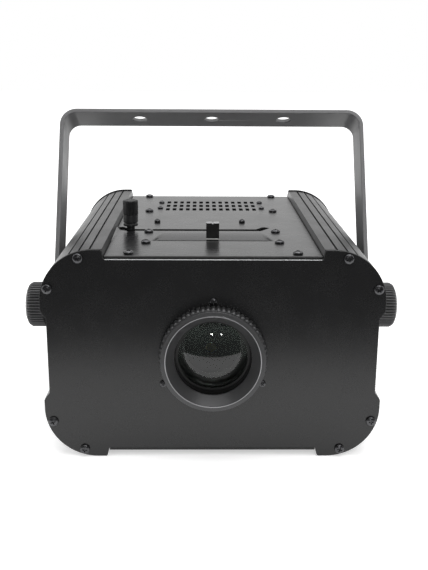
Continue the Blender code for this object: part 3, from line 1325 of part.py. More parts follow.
def make_mains_fittings():
    """Make the mains inlet, the fuse cap and the rocker switch in the rear plate."""
    face = REAR_FITTINGS_Y
    inlet = box_mesh("mains_inlet", (INLET_FLANGE[0], INLET_LIP, INLET_FLANGE[1]), (0, INLET_LIP / 2, 0))
    obj = add_object("mains_inlet", inlet, BLACK_PLASTIC, (INLET_X, face, FITTINGS_Z))
    shell_depth = INLET_BODY_DEPTH + INLET_LIP / 2
    shell = box_mesh("inlet_shell", (INLET_SIZE[0], shell_depth, INLET_SIZE[1]), (0, -shell_depth / 2, 0))
    join_shape(obj, shell, (INLET_X, face + INLET_LIP / 2, FITTINGS_Z))
    half_width = INLET_SOCKET[0] / 2
    half_height = INLET_SOCKET[1] / 2
    slant = INLET_SOCKET_CHAMFER
    socket = [
        (-half_width, -half_height),
        (half_width, -half_height),
        (half_width, half_height - slant),
        (half_width - slant, half_height),
        (-half_width + slant, half_height),
        (-half_width, half_height - slant),
    ]
    hollow = outline_mesh("inlet_socket", [socket], INLET_BODY_DEPTH)
    floor = face - INLET_HOLLOW_DEPTH
    cut_hole(obj, hollow, (INLET_X, floor, FITTINGS_Z), TOWARDS_BACK)
    for column, rise in ((-1, -INLET_PIN_RISE), (0, INLET_PIN_RISE), (1, -INLET_PIN_RISE)):
        pin = box_mesh("inlet_pin", INLET_PIN, (0, INLET_PIN[1] / 2, 0))
        place = (INLET_X + column * INLET_PIN_PITCH, floor - INLET_PIN[0] / 2, FITTINGS_Z + rise)
        join_shape(obj, pin, place)
    make_fuse_holder(face)
    make_switch(face)


def make_fuse_holder(face):
    """Make the fuse holder's body and the screw cap over it."""
    inner = FUSE_RADIUS - FUSE_WALL
    profile = [
        (inner, -FUSE_BODY_DEPTH),
        (FUSE_RADIUS, -FUSE_BODY_DEPTH),
        (FUSE_RADIUS, 0.0),
        (FUSE_CAP_RADIUS, 0.0),
        (FUSE_CAP_RADIUS, FUSE_COLLAR),
        (inner, FUSE_COLLAR),
    ]
    body = turned_mesh("fuse_holder", profile, FACETS_SMALL)
    add_object("fuse_holder", body, BLACK_PLASTIC, (FUSE_X, face, FITTINGS_Z), TOWARDS_BACK)
    plug = inner - GAP
    head = FUSE_CAP_RADIUS - FUSE_CAP_SET_IN
    seat = FUSE_COLLAR + GAP
    top = seat + FUSE_CAP_HEIGHT
    cap = [
        (0.0, -FUSE_PLUG_DEPTH),
        (plug, -FUSE_PLUG_DEPTH),
        (plug, seat),
        (head, seat),
        (head, top - FUSE_CAP_BEVEL),
        (head - FUSE_CAP_BEVEL, top),
        (0.0, top),
    ]
    mesh = turned_mesh("fuse_cap", cap, FACETS_SMALL, closed=False)
    obj = add_object("fuse_cap", mesh, BLACK_PLASTIC, (FUSE_X, face, FITTINGS_Z), TOWARDS_BACK)
    slot = box_mesh("fuse_cap_slot", (2 * FUSE_CAP_RADIUS, *FUSE_CAP_SLOT))
    cut_hole(obj, slot, (FUSE_X, face + top, FITTINGS_Z))


def make_switch(face):
    """Make the switch's frame and its rocker, which rests with one end pressed in."""
    width, height = SWITCH_SIZE
    lip = (SWITCH_FLANGE[0], SWITCH_LIP, SWITCH_FLANGE[1])
    frame = box_mesh("switch_frame", lip, (0, SWITCH_LIP / 2, 0))
    obj = add_object("switch_frame", frame, BLACK_PLASTIC, (SWITCH_X, face, FITTINGS_Z))
    shell_depth = SWITCH_BODY_DEPTH + SWITCH_LIP / 2
    shell = box_mesh("switch_shell", (width, shell_depth, height), (0, (SWITCH_LIP - shell_depth) / 2, 0))
    join_shape(obj, shell, (SWITCH_X, face, FITTINGS_Z))
    inner_width = width - 2 * SWITCH_WALL
    inner_height = height - 2 * SWITCH_WALL
    well_depth = SWITCH_BODY_DEPTH - SWITCH_WALL
    well = box_mesh("switch_well", (inner_width, 2 * well_depth, inner_height), (0, 0, 0))
    cut_hole(obj, well, (SWITCH_X, face, FITTINGS_Z))
    half = inner_width / 2 - 2 * RUNNING_GAP
    foot = half - ROCKER_ROOT * math.tan(ROCKER_TILT)
    horn = ROCKER_CROWN + half * math.tan(ROCKER_TILT)
    side = [(-foot, -ROCKER_ROOT), (foot, -ROCKER_ROOT), (half, horn), (0.0, ROCKER_CROWN), (-half, horn)]
    depth = inner_height - 2 * GAP
    rocker = outline_mesh("switch_rocker", [side], depth)
    hinge = (SWITCH_X, face - ROCKER_SINK, FITTINGS_Z - depth / 2)
    add_object("switch_rocker", rocker, BLACK_PLASTIC, hinge, (0.0, 0.0, ROCKER_TILT))


def yoke_pivot():
    """Return the empty at the yoke's pivot, tilted back by the yoke's lean."""
    pivot = bpy.data.objects.new("yoke_pivot", None)
    PARTS.objects.link(pivot)
    pivot.parent = AXIS
    pivot.location = (0, PIVOT_Y, PIVOT_Z)
    pivot.rotation_euler = (-YOKE_LEAN, 0.0, 0.0)
    return pivot


def yoke_strip_outline():
    """Return the bent band's section seen along the body: two arms and a top with round bends."""
    outer = []
    inner = []
    outer_bend = YOKE_BEND_RADIUS + YOKE_THICKNESS
    steps = 6
    for index in range(steps + 1):
        turn = math.pi / 2 * index / steps
        x = ARM_OUTER_X - outer_bend
        z = YOKE_LENGTH - outer_bend
        outer.append((x + outer_bend * math.cos(turn), z + outer_bend * math.sin(turn)))
        inner.append((x + YOKE_BEND_RADIUS * math.cos(turn), z + YOKE_BEND_RADIUS * math.sin(turn)))
    half = YOKE_BAND / 2
    right = [(ARM_OUTER_X, -half)] + outer
    inside = [(YOKE_INNER_HALF_WIDTH, -half)] + inner
    path = right + [(-x, z) for x, z in reversed(right)]
    return path + [(-x, z) for x, z in inside] + [(x, z) for x, z in reversed(inside)]


def make_yoke(pivot):
    """Make the hanging yoke: a bent flat bar with round arm ends, bolt holes and three mounting holes."""
    half = YOKE_BAND / 2
    mesh = outline_mesh("yoke_bracket", [[(x, -z) for x, z in yoke_strip_outline()]], YOKE_BAND)
    obj = add_object("yoke_bracket", mesh, POWDER_COAT, (0, -half, 0), TOWARDS_BACK, pivot)
    reach = 4 * YOKE_THICKNESS
    for index in (-1, 0, 1):
        hole = cylinder_mesh("yoke_hole", YOKE_HOLE_RADIUS, reach, FACETS_SMALL, -reach / 2)
        cut_hole(obj, hole, (index * YOKE_HOLE_PITCH, 0, YOKE_LENGTH))
    for side in (-1, 1):
        bolt = cylinder_mesh("yoke_bolt_hole", BOLT_RADIUS + RUNNING_GAP, reach, FACETS_SMALL, -reach / 2)
        cut_hole(obj, bolt, (side * ARM_OUTER_X, 0, 0), TOWARDS_RIGHT)
        corner = yoke_end_cutter_mesh(half, reach)
        cut_hole(obj, corner, (side * ARM_OUTER_X - reach / 2, 0, 0), (math.pi / 2, 0.0, math.pi / 2))
    return obj


def yoke_end_cutter_mesh(half, reach):
    """Return the tool that rounds an arm's end: a strip with a half circle left out."""
    steps = 16
    arc = [(half * math.cos(math.pi * i / steps), -half * math.sin(math.pi * i / steps)) for i in range(steps + 1)]
    margin = half + YOKE_THICKNESS
    outline = [(margin, 0.0)] + arc + [(-margin, 0.0), (-margin, -margin), (margin, -margin)]
    return outline_mesh("yoke_end", [outline], reach)


def make_clamps():
    """Make each side's friction washer, outer washer, clamp knob with its bolt, and the inner nut block."""
    pivot = Vector((0, PIVOT_Y, PIVOT_Z))
    bore = BOLT_RADIUS + GAP
    inner_start = SIDE_FLAT_X + GAP
    inner_length = YOKE_INNER_HALF_WIDTH - GAP - inner_start
    outer_start = ARM_OUTER_X + GAP
    edge = WASHER_BEVEL
    washer = rectangle(WASHER_RADIUS - bore, inner_length, ((WASHER_RADIUS + bore) / 2, inner_length / 2))
    spacer = [
        (bore, 0.0),
        (OUTER_WASHER_RADIUS, 0.0),
        (OUTER_WASHER_RADIUS, OUTER_WASHER_THICKNESS - edge),
        (OUTER_WASHER_RADIUS - edge, OUTER_WASHER_THICKNESS),
        (bore, OUTER_WASHER_THICKNESS),
    ]
    thick = PIVOT_BLOCK[0]
    for name, side, heading in (("left", -1, TOWARDS_LEFT), ("right", 1, TOWARDS_RIGHT)):
        mesh = turned_mesh("friction_washer_" + name, washer, FACETS_MIDDLE)
        add_object("friction_washer_" + name, mesh, FIBRE, pivot + Vector((side * inner_start, 0, 0)), heading)
        mesh = turned_mesh("clamp_washer_" + name, spacer, FACETS_MIDDLE)
        add_object("clamp_washer_" + name, mesh, BLACK_STEEL, pivot + Vector((side * outer_start, 0, 0)), heading)
        make_clamp_knob("clamp_knob_" + name, side, heading, outer_start + OUTER_WASHER_THICKNESS + GAP)
        centre = pivot + Vector((side * (SIDE_FLAT_X - WALL - GAP - thick / 2), 0, 0))
        nut = add_object("pivot_block_" + name, box_mesh("pivot_block_" + name, PIVOT_BLOCK), BARE_STEEL, centre)
        cut_hole(nut, cylinder_mesh("nut_bore", bore, 2 * thick, FACETS_SMALL, -thick), centre, TOWARDS_RIGHT)


def make_clamp_knob(name, side, heading, seat):
    """Make one ribbed clamp knob with its bolt reaching through the arm into the inner nut block."""
    origin = Vector((side * seat, PIVOT_Y, PIVOT_Z))
    rim = CLAMP_KNOB_RADIUS - CLAMP_RIB_DEPTH
    height = CLAMP_KNOB_THICKNESS
    bolt = seat - (SIDE_FLAT_X - WALL - PIVOT_BLOCK[0])
    chamfer = CLAMP_KNOB_BEVEL
    profile = [
        (0.0, -bolt),
        (BOLT_RADIUS - BOLT_POINT_BEVEL, -bolt),
        (BOLT_RADIUS, -bolt + BOLT_POINT_BEVEL),
        (BOLT_RADIUS, 0.0),
        (rim - chamfer / 2, 0.0),
        (rim, chamfer / 2),
        (rim, height - chamfer),
        (rim - chamfer, height - CLAMP_KNOB_CROWN),
        (rim - 3 * chamfer, height),
        (0.0, height),
    ]
    mesh = turned_mesh(name, profile, CLAMP_KNOB_RIBS, closed=False)
    knob = add_object(name, mesh, BLACK_PLASTIC, origin, heading)
    ribs = ribbed_circle(CLAMP_KNOB_RADIUS, rim - GAP, CLAMP_KNOB_RIBS)
    grip = height - chamfer - chamfer / 2 - 2 * GAP
    band = outline_mesh(name + "_ribs", [ribs, circle(rim - 3 * GAP, count=CLAMP_KNOB_RIBS)], grip)
    join_shape(knob, band, origin + Vector((side * (chamfer / 2 + GAP), 0, 0)), heading)
    return knob


def screw_mesh(name, scale=1.0):
    """Return a pan-head screw along local Z: the head below height 0 and the shank above it."""
    head = SCREW_HEAD_RADIUS * scale
    tall = SCREW_HEAD_HEIGHT * scale
    shank = SCREW_SHANK_RADIUS * scale
    profile = [
        (0.0, -tall),
        (SCREW_CROWN_SHARE * head, -tall + SCREW_CROWN_FALL),
        (head, -SCREW_RIM_SHARE * tall),
        (head, 0.0),
        (shank, 0.0),
        (shank, SCREW_SHANK_LENGTH * scale),
        (0.0, SCREW_SHANK_LENGTH * scale),
    ]
    return turned_mesh(name, profile, FACETS_SCREW, closed=False)


def make_screw(name, place, scale=1.0):
    """Make one screw of the front face."""
    return add_object(name, screw_mesh(name, scale), BLACK_STEEL, place, TOWARDS_BACK)


def make_front_screws():
    """Make the eight screws of the front plate and the three of the lens flange."""
    for index, (x, z) in enumerate(port_places()):
        make_screw("front_screw_" + str(index + 1), (x, -GAP, z))
    for index, place in enumerate(flange_screw_places(-GAP)):
        make_screw("flange_screw_" + str(index + 1), place, FLANGE_SCREW_SCALE)


def build_projector():
    """Make every part of the projector."""
    make_side_extrusion("side_extrusion_left", -1)
    make_side_extrusion("side_extrusion_right", 1)
    make_front_plate()
    make_rear_plate()
    make_top_cover()
    make_bottom_cover()
    make_lens_flange()
    make_focus_ring()
    make_lens_barrel()
    make_lenses()
    make_guide_rods()
    make_gobo_gate()
    make_gobo_holder()
    make_gobo()
    make_condenser_carriage()
    make_zoom_slide()
    make_zoom_knob()
    make_light_engine()
    make_tray_and_supply()
    make_fan()
    make_mains_fittings()
    make_yoke(yoke_pivot())
    make_clamps()
    make_front_screws()


build_projector()
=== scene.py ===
"""Looks of a gobo projector: a satin black stage light on a pale studio floor.

Every length is in metres. Points of the body are written in its own frame: x to the right, y back from
the front plate's face and z up from the lens axis. place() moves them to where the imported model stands.
"""

from __future__ import annotations

import logging
import math
from dataclasses import dataclass, field
from enum import Enum
from typing import Any, Sequence

import bmesh
import bpy
from mathutils import Matrix, Vector


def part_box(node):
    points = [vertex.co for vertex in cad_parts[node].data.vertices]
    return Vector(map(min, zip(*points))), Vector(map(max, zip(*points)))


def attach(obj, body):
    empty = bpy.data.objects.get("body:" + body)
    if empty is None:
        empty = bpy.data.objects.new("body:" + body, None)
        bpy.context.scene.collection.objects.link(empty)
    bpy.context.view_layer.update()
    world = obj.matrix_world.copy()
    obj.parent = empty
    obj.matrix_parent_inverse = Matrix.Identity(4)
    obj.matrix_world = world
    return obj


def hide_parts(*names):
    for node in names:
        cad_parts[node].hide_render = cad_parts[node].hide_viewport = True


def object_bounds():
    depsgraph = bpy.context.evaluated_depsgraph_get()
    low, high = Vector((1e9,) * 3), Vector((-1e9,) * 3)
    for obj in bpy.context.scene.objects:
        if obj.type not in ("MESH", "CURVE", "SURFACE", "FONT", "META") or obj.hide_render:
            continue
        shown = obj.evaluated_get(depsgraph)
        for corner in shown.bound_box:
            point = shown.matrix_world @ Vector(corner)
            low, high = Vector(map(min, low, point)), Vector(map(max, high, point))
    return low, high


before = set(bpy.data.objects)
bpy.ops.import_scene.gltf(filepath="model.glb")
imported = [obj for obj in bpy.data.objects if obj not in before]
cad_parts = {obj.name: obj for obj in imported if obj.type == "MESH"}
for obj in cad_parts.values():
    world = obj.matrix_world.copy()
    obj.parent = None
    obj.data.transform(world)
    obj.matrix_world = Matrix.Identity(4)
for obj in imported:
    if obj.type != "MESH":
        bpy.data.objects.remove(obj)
CAD_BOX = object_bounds()

LOG = logging.getLogger("gobo_projector")
logging.basicConfig(level=logging.INFO, format="%(message)s")

Point = tuple[float, float]
Outline = list[Point]

MM = 0.001
SMOOTH_ANGLE = math.radians(32.0)
PLATE_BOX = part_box("front_plate")
LENS_AXIS = Vector((0.0, PLATE_BOX[0].y, (PLATE_BOX[0].z + PLATE_BOX[1].z) / 2))


def place(x: float, y: float, z: float) -> Vector:
    """Return a point of the body's own frame in the world."""
    return LENS_AXIS + Vector((x, y, z))


# Where the vents of both covers lie, over the heatsink.
VENT_CENTRE_Y = 0.2015
# Where the yoke turns: back from the front plate's face and up from the lens axis.
PIVOT: Point = (0.087, 0.0128)


# Outlines and profiles


def signed_area(points: Sequence[Point]) -> float:
    """Return the area inside an outline, positive where it runs anticlockwise."""
    following = list(points[1:]) + [points[0]]
    return sum(a[0] * b[1] - b[0] * a[1] for a, b in zip(points, following)) / 2


def circle(radius: float, centre: Point = (0.0, 0.0), count: int = 48) -> Outline:
    """Return points round a circle."""
    turns = [2 * math.pi * index / count for index in range(count)]
    return [(centre[0] + radius * math.cos(turn), centre[1] + radius * math.sin(turn)) for turn in turns]


def rectangle(width: float, height: float, centre: Point = (0.0, 0.0)) -> Outline:
    """Return the corners of a rectangle, anticlockwise."""
    corners = ((-1, -1), (1, -1), (1, 1), (-1, 1))
    return [(centre[0] + side * width / 2, centre[1] + end * height / 2) for side, end in corners]


def disc(radius: float, low: float, high: float) -> Outline:
    """Return the profile of a plain disc, to turn about its axis."""
    return [(0.0, low), (radius, low), (radius, high), (0.0, high)]


def filleted(points: Sequence[Point], radius: float, steps: int = 4, closed: bool = True) -> Outline:
    """Round the corners of a line.

    Args:
        points: The line's corners.
        radius: The fillet, made smaller where a side is too short for it.
        steps: Segments in each rounded corner.
        closed: Whether the line runs round to its start.

    Returns:
        The points of the rounded line.
    """
    count = len(points)
    least_turn = math.radians(4.0)
    result: Outline = []
    for index, point in enumerate(points):
        if not closed and index in (0, count - 1):
            result.append(point)
            continue
        corner = Vector(point)
        before = Vector(points[index - 1]) - corner
        after = Vector(points[(index + 1) % count]) - corner
        angle = before.angle(after, math.pi)
        if not least_turn <= angle <= math.pi - least_turn:
            result.append(point)
            continue
        reach = min(radius / math.tan(angle / 2), 0.45 * before.length, 0.45 * after.length)
        real = reach * math.tan(angle / 2)
        bisector = (before.normalized() + after.normalized()).normalized()
        middle = corner + bisector * (real / math.sin(angle / 2))
        start = corner + before.normalized() * reach - middle
        sweep = start.angle_signed(corner + after.normalized() * reach - middle)
        for step in range(steps + 1):
            turn = -sweep * step / steps
            x = start.x * math.cos(turn) - start.y * math.sin(turn)
            y = start.x * math.sin(turn) + start.y * math.cos(turn)
            result.append((middle.x + x, middle.y + y))
    return result


def mitres(points: Sequence[Point]) -> list[Vector]:
    """Return each point's outward mitre of an anticlockwise outline, one unit wide."""
    result = []
    count = len(points)
    for index, point in enumerate(points):
        here = Vector(point)
        before = (here - Vector(points[index - 1])).normalized()
        after = (Vector(points[(index + 1) % count]) - here).normalized()
        first, second = Vector((before.y, -before.x)), Vector((after.y, -after.x))
        middle = (first + second).normalized()
        result.append(middle / max(0.35, middle.dot(first)))
    return result


# Meshes


def finish_mesh(work: bmesh.types.BMesh, name: str, turn: Matrix | None = None) -> bpy.types.Mesh:
    """Weld a working mesh, face it outwards, move it and shade it smooth between its sharp edges."""
    bmesh.ops.remove_doubles(work, verts=work.verts, dist=1e-6)
    bmesh.ops.dissolve_degenerate(work, edges=work.edges, dist=1e-7)
    if turn is not None:
        work.transform(turn)
    bmesh.ops.recalc_face_normals(work, faces=work.faces)
    mesh = bpy.data.meshes.new(name)
    work.to_mesh(mesh)
    work.free()
    shade(mesh)
    return mesh


@dataclass(frozen=True)
class Ribs:
    """Lengthwise grooves round a turned piece: how many, how deep, and the share of a pitch on the land."""

    count: int
    depth: float
    land: float
    steps: tuple[float, ...] = (0.0, 0.10, 0.22, 0.5, 0.78, 0.90)

    def sink(self, share: float) -> float:
        """Return how deep the surface lies at a share of one pitch, from 0 on the land to 1 in the groove."""
        offset = abs(((share + 0.5) % 1.0) - 0.5) * 2.0
        return smooth_step((offset - self.land) / max(1e-6, (1.0 - self.land) * 0.55))


def turned_mesh(
    name: str,
    profile: Sequence[Point],
    segments: int = 72,
    ribs: Ribs | None = None,
    ribbed: tuple[float, float] = (0.0, 0.0),
    turn: Matrix | None = None,
) -> bpy.types.Mesh:
    """Revolve a profile about local Z.

    Args:
        name: The mesh's name.
        profile: Points of (radius, height). It starts and ends on the axis, or else it is a ring's section.
        segments: Facets round it, without ribs.
        ribs: Grooves along its outer side.
        ribbed: The lowest and highest height at which the grooves run, on the profile's points between them.
        turn: Where the piece goes.

    Returns:
        A closed mesh.
    """
    turns: list[tuple[float, float]] = []
    outside = 0.8 * max(radius for radius, _ in profile)
    if ribs is None:
        turns = [(2 * math.pi * index / segments, 0.0) for index in range(segments)]
    else:
        for index in range(ribs.count):
            for share in ribs.steps:
                turns.append((2 * math.pi * (index + share) / ribs.count, ribs.sink(share)))
    work = bmesh.new()
    rings = []
    for radius, height in profile:
        if radius < 1e-7:
            rings.append([work.verts.new((0.0, 0.0, height))])
            continue
        grooved = ribs is not None and ribbed[0] - 1e-9 <= height <= ribbed[1] + 1e-9 and radius > outside
        ring = []
        for angle, sink in turns:
            real = radius - (ribs.depth * sink if grooved and ribs else 0.0)
            ring.append(work.verts.new((real * math.cos(angle), real * math.sin(angle), height)))
        rings.append(ring)
    pairs = list(zip(rings, rings[1:]))
    if len(rings[0]) > 1 and len(rings[-1]) > 1:
        pairs.append((rings[-1], rings[0]))
    for low, high in pairs:
        for index in range(len(turns)):
            other = (index + 1) % len(turns)
            corners = [low[index % len(low)], low[other % len(low)]]
            corners += [high[other % len(high)], high[index % len(high)]]
            unique = list(dict.fromkeys(corners))
            if len(unique) > 2:
                work.faces.new(unique)
    return finish_mesh(work, name, turn)


def prism_mesh(
    name: str,
    outlines: Sequence[Sequence[Point]],
    low: float,
    high: float,
    edge: float = 0.0,
    turn: Matrix | None = None,
    steps: int = 3,
) -> bpy.types.Mesh:
    """Extrude flat outlines between two heights, with rounded rims.

    Args:
        name: The mesh's name.
        outlines: The outer line first and then the holes.
        low: The lower face's height.
        high: The upper face's height.
        edge: The radius of the rims.
        turn: Where the piece goes.
        steps: Segments in a rounded rim.

    Returns:
        A closed mesh.
    """
    work = bmesh.new()
    angles = quarter(steps if edge else 0)
    levels = [(edge * (1 - math.sin(angle)), low + edge * (1 - math.cos(angle))) for angle in angles]
    levels += [(inset, high + low - height) for inset, height in reversed(levels)]
    floor: list[bmesh.types.BMEdge] = []
    roof: list[bmesh.types.BMEdge] = []
    for index, outline in enumerate(outlines):
        points = list(outline)
        if (signed_area(points) > 0) != (index == 0):
            points.reverse()
        offsets = mitres(points)
        rings = []
        for inset, height in levels:
            ring = []
            for (x, y), away in zip(points, offsets):
                ring.append(work.verts.new((x - inset * away.x, y - inset * away.y, height)))
            rings.append(ring)
        for lower, upper in zip(rings, rings[1:]):
            for side in range(len(points)):
                other = (side + 1) % len(points)
                work.faces.new([lower[side], lower[other], upper[other], upper[side]])
        for ring, rim in ((rings[0], floor), (rings[-1], roof)):
            rim += edge_loop(work, ring)
    for rim in (floor, roof):
        bmesh.ops.triangle_fill(work, use_beauty=True, use_dissolve=False, edges=rim)
    return finish_mesh(work, name, turn)


def smooth_step(share: float) -> float:
    """Return a share between 0 and 1 with soft ends."""
    value = min(1.0, max(0.0, share))
    return value * value * (3.0 - 2.0 * value)


def quarter(steps: int) -> list[float]:
    """Return the angles of a quarter turn's steps."""
    return [math.pi / 2 * step / steps for step in range(steps + 1)] if steps else [math.pi / 2]


def edge_between(work: bmesh.types.BMesh, *ends: bmesh.types.BMVert) -> bmesh.types.BMEdge:
    """Return the edge between two corners, made where there is none."""
    return work.edges.get(ends) or work.edges.new(ends)


def edge_loop(work: bmesh.types.BMesh, corners: Sequence[bmesh.types.BMVert]) -> list[bmesh.types.BMEdge]:
    """Return the edges round a closed line of corners."""
    return [edge_between(work, corner, corners[(i + 1) % len(corners)]) for i, corner in enumerate(corners)]


def rod_mesh(name: str, path: Sequence[Vector], radius: float, closed: bool = False) -> bpy.types.Mesh:
    """Return a round wire along a path, with flat ends unless it is closed."""
    sides = 10
    work = bmesh.new()
    rings = []
    count = len(path)
    side = Vector((0.0, 1.0, 0.0))
    for index, spot in enumerate(path):
        before = path[index - 1] if index or closed else spot
        after = path[(index + 1) % count] if index < count - 1 or closed else spot
        heading = (after - before).normalized()
        across = heading.cross(side).normalized()
        up = across.cross(heading).normalized()
        ring = []
        for step in range(sides):
            turn = 2 * math.pi * step / sides
            ring.append(work.verts.new(spot + (across * math.cos(turn) + up * math.sin(turn)) * radius))
        rings.append(ring)
    pairs = list(zip(rings, rings[1:])) + ([(rings[-1], rings[0])] if closed else [])
    for low, high in pairs:
        for step in range(sides):
            other = (step + 1) % sides
            work.faces.new([low[step], low[other], high[other], high[step]])
    if not closed:
        work.faces.new(rings[0])
        work.faces.new(rings[-1])
    return finish_mesh(work, name)


# Swaps y and z: a flat outline stands upright as (x, z), and its heights run back along y.
UPRIGHT = Matrix(((1, 0, 0, 0), (0, 0, 1, 0), (0, 1, 0, 0), (0, 0, 0, 1)))


def facing_front() -> Matrix:
    """Return the turn that lays a flat outline upright as (x, z), with its heights running back along y."""
    return Matrix.Translation(place(0.0, 0.0, 0.0)) @ UPRIGHT


def facing_rear(y: float = 0.0, z: float = 0.0) -> Matrix:
    """Return the turn that runs a turned piece's height back along y."""
    return Matrix.Translation(place(0.0, y, z)) @ Matrix.Rotation(-math.pi / 2, 4, "X")


def facing_up(x: float = 0.0, y: float = 0.0, z: float = 0.0) -> Matrix:
    """Return the move that puts a piece built about the vertical at a place of the body."""
    return Matrix.Translation(place(x, y, z))


def facing_side(side: int, x: float, y: float, z: float) -> Matrix:
    """Return the turn that points a turned piece's height away from the body on one side."""
    return Matrix.Translation(place(side * x, y, z)) @ Matrix.Rotation(side * math.pi / 2, 4, "Y")


# Finishes


def linear(hex_colour: str) -> tuple[float, float, float, float]:
    """Return an sRGB hex colour as linear red, green, blue and alpha."""
    parts = [int(hex_colour[index : index + 2], 16) / 255 for index in (1, 3, 5)]
    red, green, blue = [c / 12.92 if c <= 0.04045 else ((c + 0.055) / 1.055) ** 2.4 for c in parts]
    return red, green, blue, 1.0


def add_node(
    tree: bpy.types.NodeTree,
    kind: str,
    settings: dict[str | int, Any] | None = None,
    links: dict[str | int, Any] | None = None,
) -> bpy.types.Node:
    """Add a node with its settings and links.

    Args:
        tree: The material's or world's node tree.
        kind: The node's type.
        settings: Values of its properties, or of its inputs by name or number.
        links: The socket that feeds each input, by the input's name or number.

    Returns:
        The node.
    """
    node = tree.nodes.new(kind)
    for key, value in (settings or {}).items():
        if isinstance(key, str) and key in node.bl_rna.properties:
            setattr(node, key, value)
        else:
            node.inputs[key].default_value = value
    for key, socket in (links or {}).items():
        tree.links.new(socket, node.inputs[key])
    return node


class Surface(Enum):
    """How a surface was made."""

    POWDER_COATED = "powder coated"
    ROLLED = "rolled and powder coated"
    ANODISED = "bead blasted and anodised"
    TURNED = "turned"
    BRUSHED = "brushed"
    MOULDED = "moulded"
    SHEARED = "sheared"
    POLISHED = "polished"


# Size of each surface's grain in millimetres, how far it stands out in hundredths of a millimetre, and the
# share by which it changes the roughness. Finer grains are drawn at a size that still shows.
GRAIN = {
    Surface.POWDER_COATED: (0.9, 1.4, 0.16),
    Surface.ROLLED: (0.7, 0.8, 0.12),
    Surface.ANODISED: (0.5, 0.8, 0.14),
    Surface.TURNED: (0.35, 0.6, 0.12),
    Surface.BRUSHED: (0.5, 0.8, 0.18),
    Surface.MOULDED: (0.6, 1.2, 0.16),
    Surface.SHEARED: (0.5, 2.0, 0.20),
    Surface.POLISHED: (6.0, 0.0, 0.02),
}


# How far each surface's grain is drawn out along x, y and z: less than 1 is longer.
STRETCH = {
    Surface.ROLLED: (0.03, 1.0, 1.0),
    Surface.BRUSHED: (1.0, 1.0, 0.04),
    Surface.TURNED: (1.0, 0.2, 1.0),
}


@dataclass(frozen=True)
class Finish:
    """A real material and how its surface was made."""

    name: str
    surface: Surface
    colour: str
    roughness: float
    metallic: float = 0.0
    ior: float = 1.5
    worn: str = ""
    transmission: float = 0.0
    bare_glare: float = 1.0

    def build(self) -> bpy.types.Material:
        """Return the finish as a node material."""
        made = bpy.data.materials.new(self.name)
        made.use_nodes = True
        tree = made.node_tree
        shader = tree.nodes["Principled BSDF"]
        shader.inputs["Metallic"].default_value = self.metallic
        shader.inputs["Transmission Weight"].default_value = self.transmission
        if not self.metallic:
            shader.inputs["IOR"].default_value = self.ior
        if self.bare_glare < 1.0:
            glare = self.bare_glare
            shader.inputs["Specular Tint"].default_value = (glare * 0.8, glare, glare * 0.9, 1.0)
        spot = add_node(tree, "ShaderNodeTexCoord").outputs["Object"]
        self.colour_nodes(tree, shader, spot)
        self.grain_nodes(tree, shader, spot)
        return made

    def colour_nodes(self, tree: bpy.types.NodeTree, shader: bpy.types.Node, spot: Any) -> None:
        """Vary the colour softly over a hand's width, as handling and coating thickness do."""
        settings = {"Scale": 1 / (35 * MM), "Detail": 3.0, "Roughness": 0.55}
        cloud = add_node(tree, "ShaderNodeTexNoise", settings, {"Vector": spot})
        ramp = add_node(tree, "ShaderNodeValToRGB", None, {"Fac": cloud.outputs["Fac"]})
        ramp.color_ramp.elements[0].position = 0.35
        ramp.color_ramp.elements[1].position = 0.68
        ramp.color_ramp.elements[0].color = linear(self.colour)
        ramp.color_ramp.elements[1].color = linear(self.worn or self.colour)
        tree.links.new(ramp.outputs["Color"], shader.inputs["Base Color"])

    def grain_nodes(self, tree: bpy.types.NodeTree, shader: bpy.types.Node, spot: Any) -> None:
        """Add the grain that the making leaves, to the roughness and the bump."""
        size, depth, swing = GRAIN[self.surface]
        stretch = STRETCH.get(self.surface, (1.0, 1.0, 1.0))
        spread = add_node(tree, "ShaderNodeMapping", {"Scale": stretch}, {"Vector": spot})
        settings = {"Scale": 1 / (size * MM), "Detail": 2.0, "Roughness": 0.6}
        grain = add_node(tree, "ShaderNodeTexNoise", settings, {"Vector": spread.outputs["Vector"]})
        settings = {"Scale": 1 / (18 * MM), "Detail": 4.0}
        smear = add_node(tree, "ShaderNodeTexNoise", settings, {"Vector": spot})
        both = {0: grain.outputs["Fac"], 1: smear.outputs["Fac"]}
        mixed = add_node(tree, "ShaderNodeMath", {"operation": "ADD"}, both)
        low, high = self.roughness * (1 - swing), self.roughness * (1 + swing)
        limits = {"From Min": 0.6, "From Max": 1.4, "To Min": low, "To Max": high}
        span = add_node(tree, "ShaderNodeMapRange", limits, {"Value": mixed.outputs[0]})
        tree.links.new(span.outputs["Result"], shader.inputs["Roughness"])
        if depth:
            settings = {"Strength": 0.6, "Distance": depth * MM / 100}
            bump = add_node(tree, "ShaderNodeBump", settings, {"Height": grain.outputs["Fac"]})
            tree.links.new(bump.outputs["Normal"], shader.inputs["Normal"])


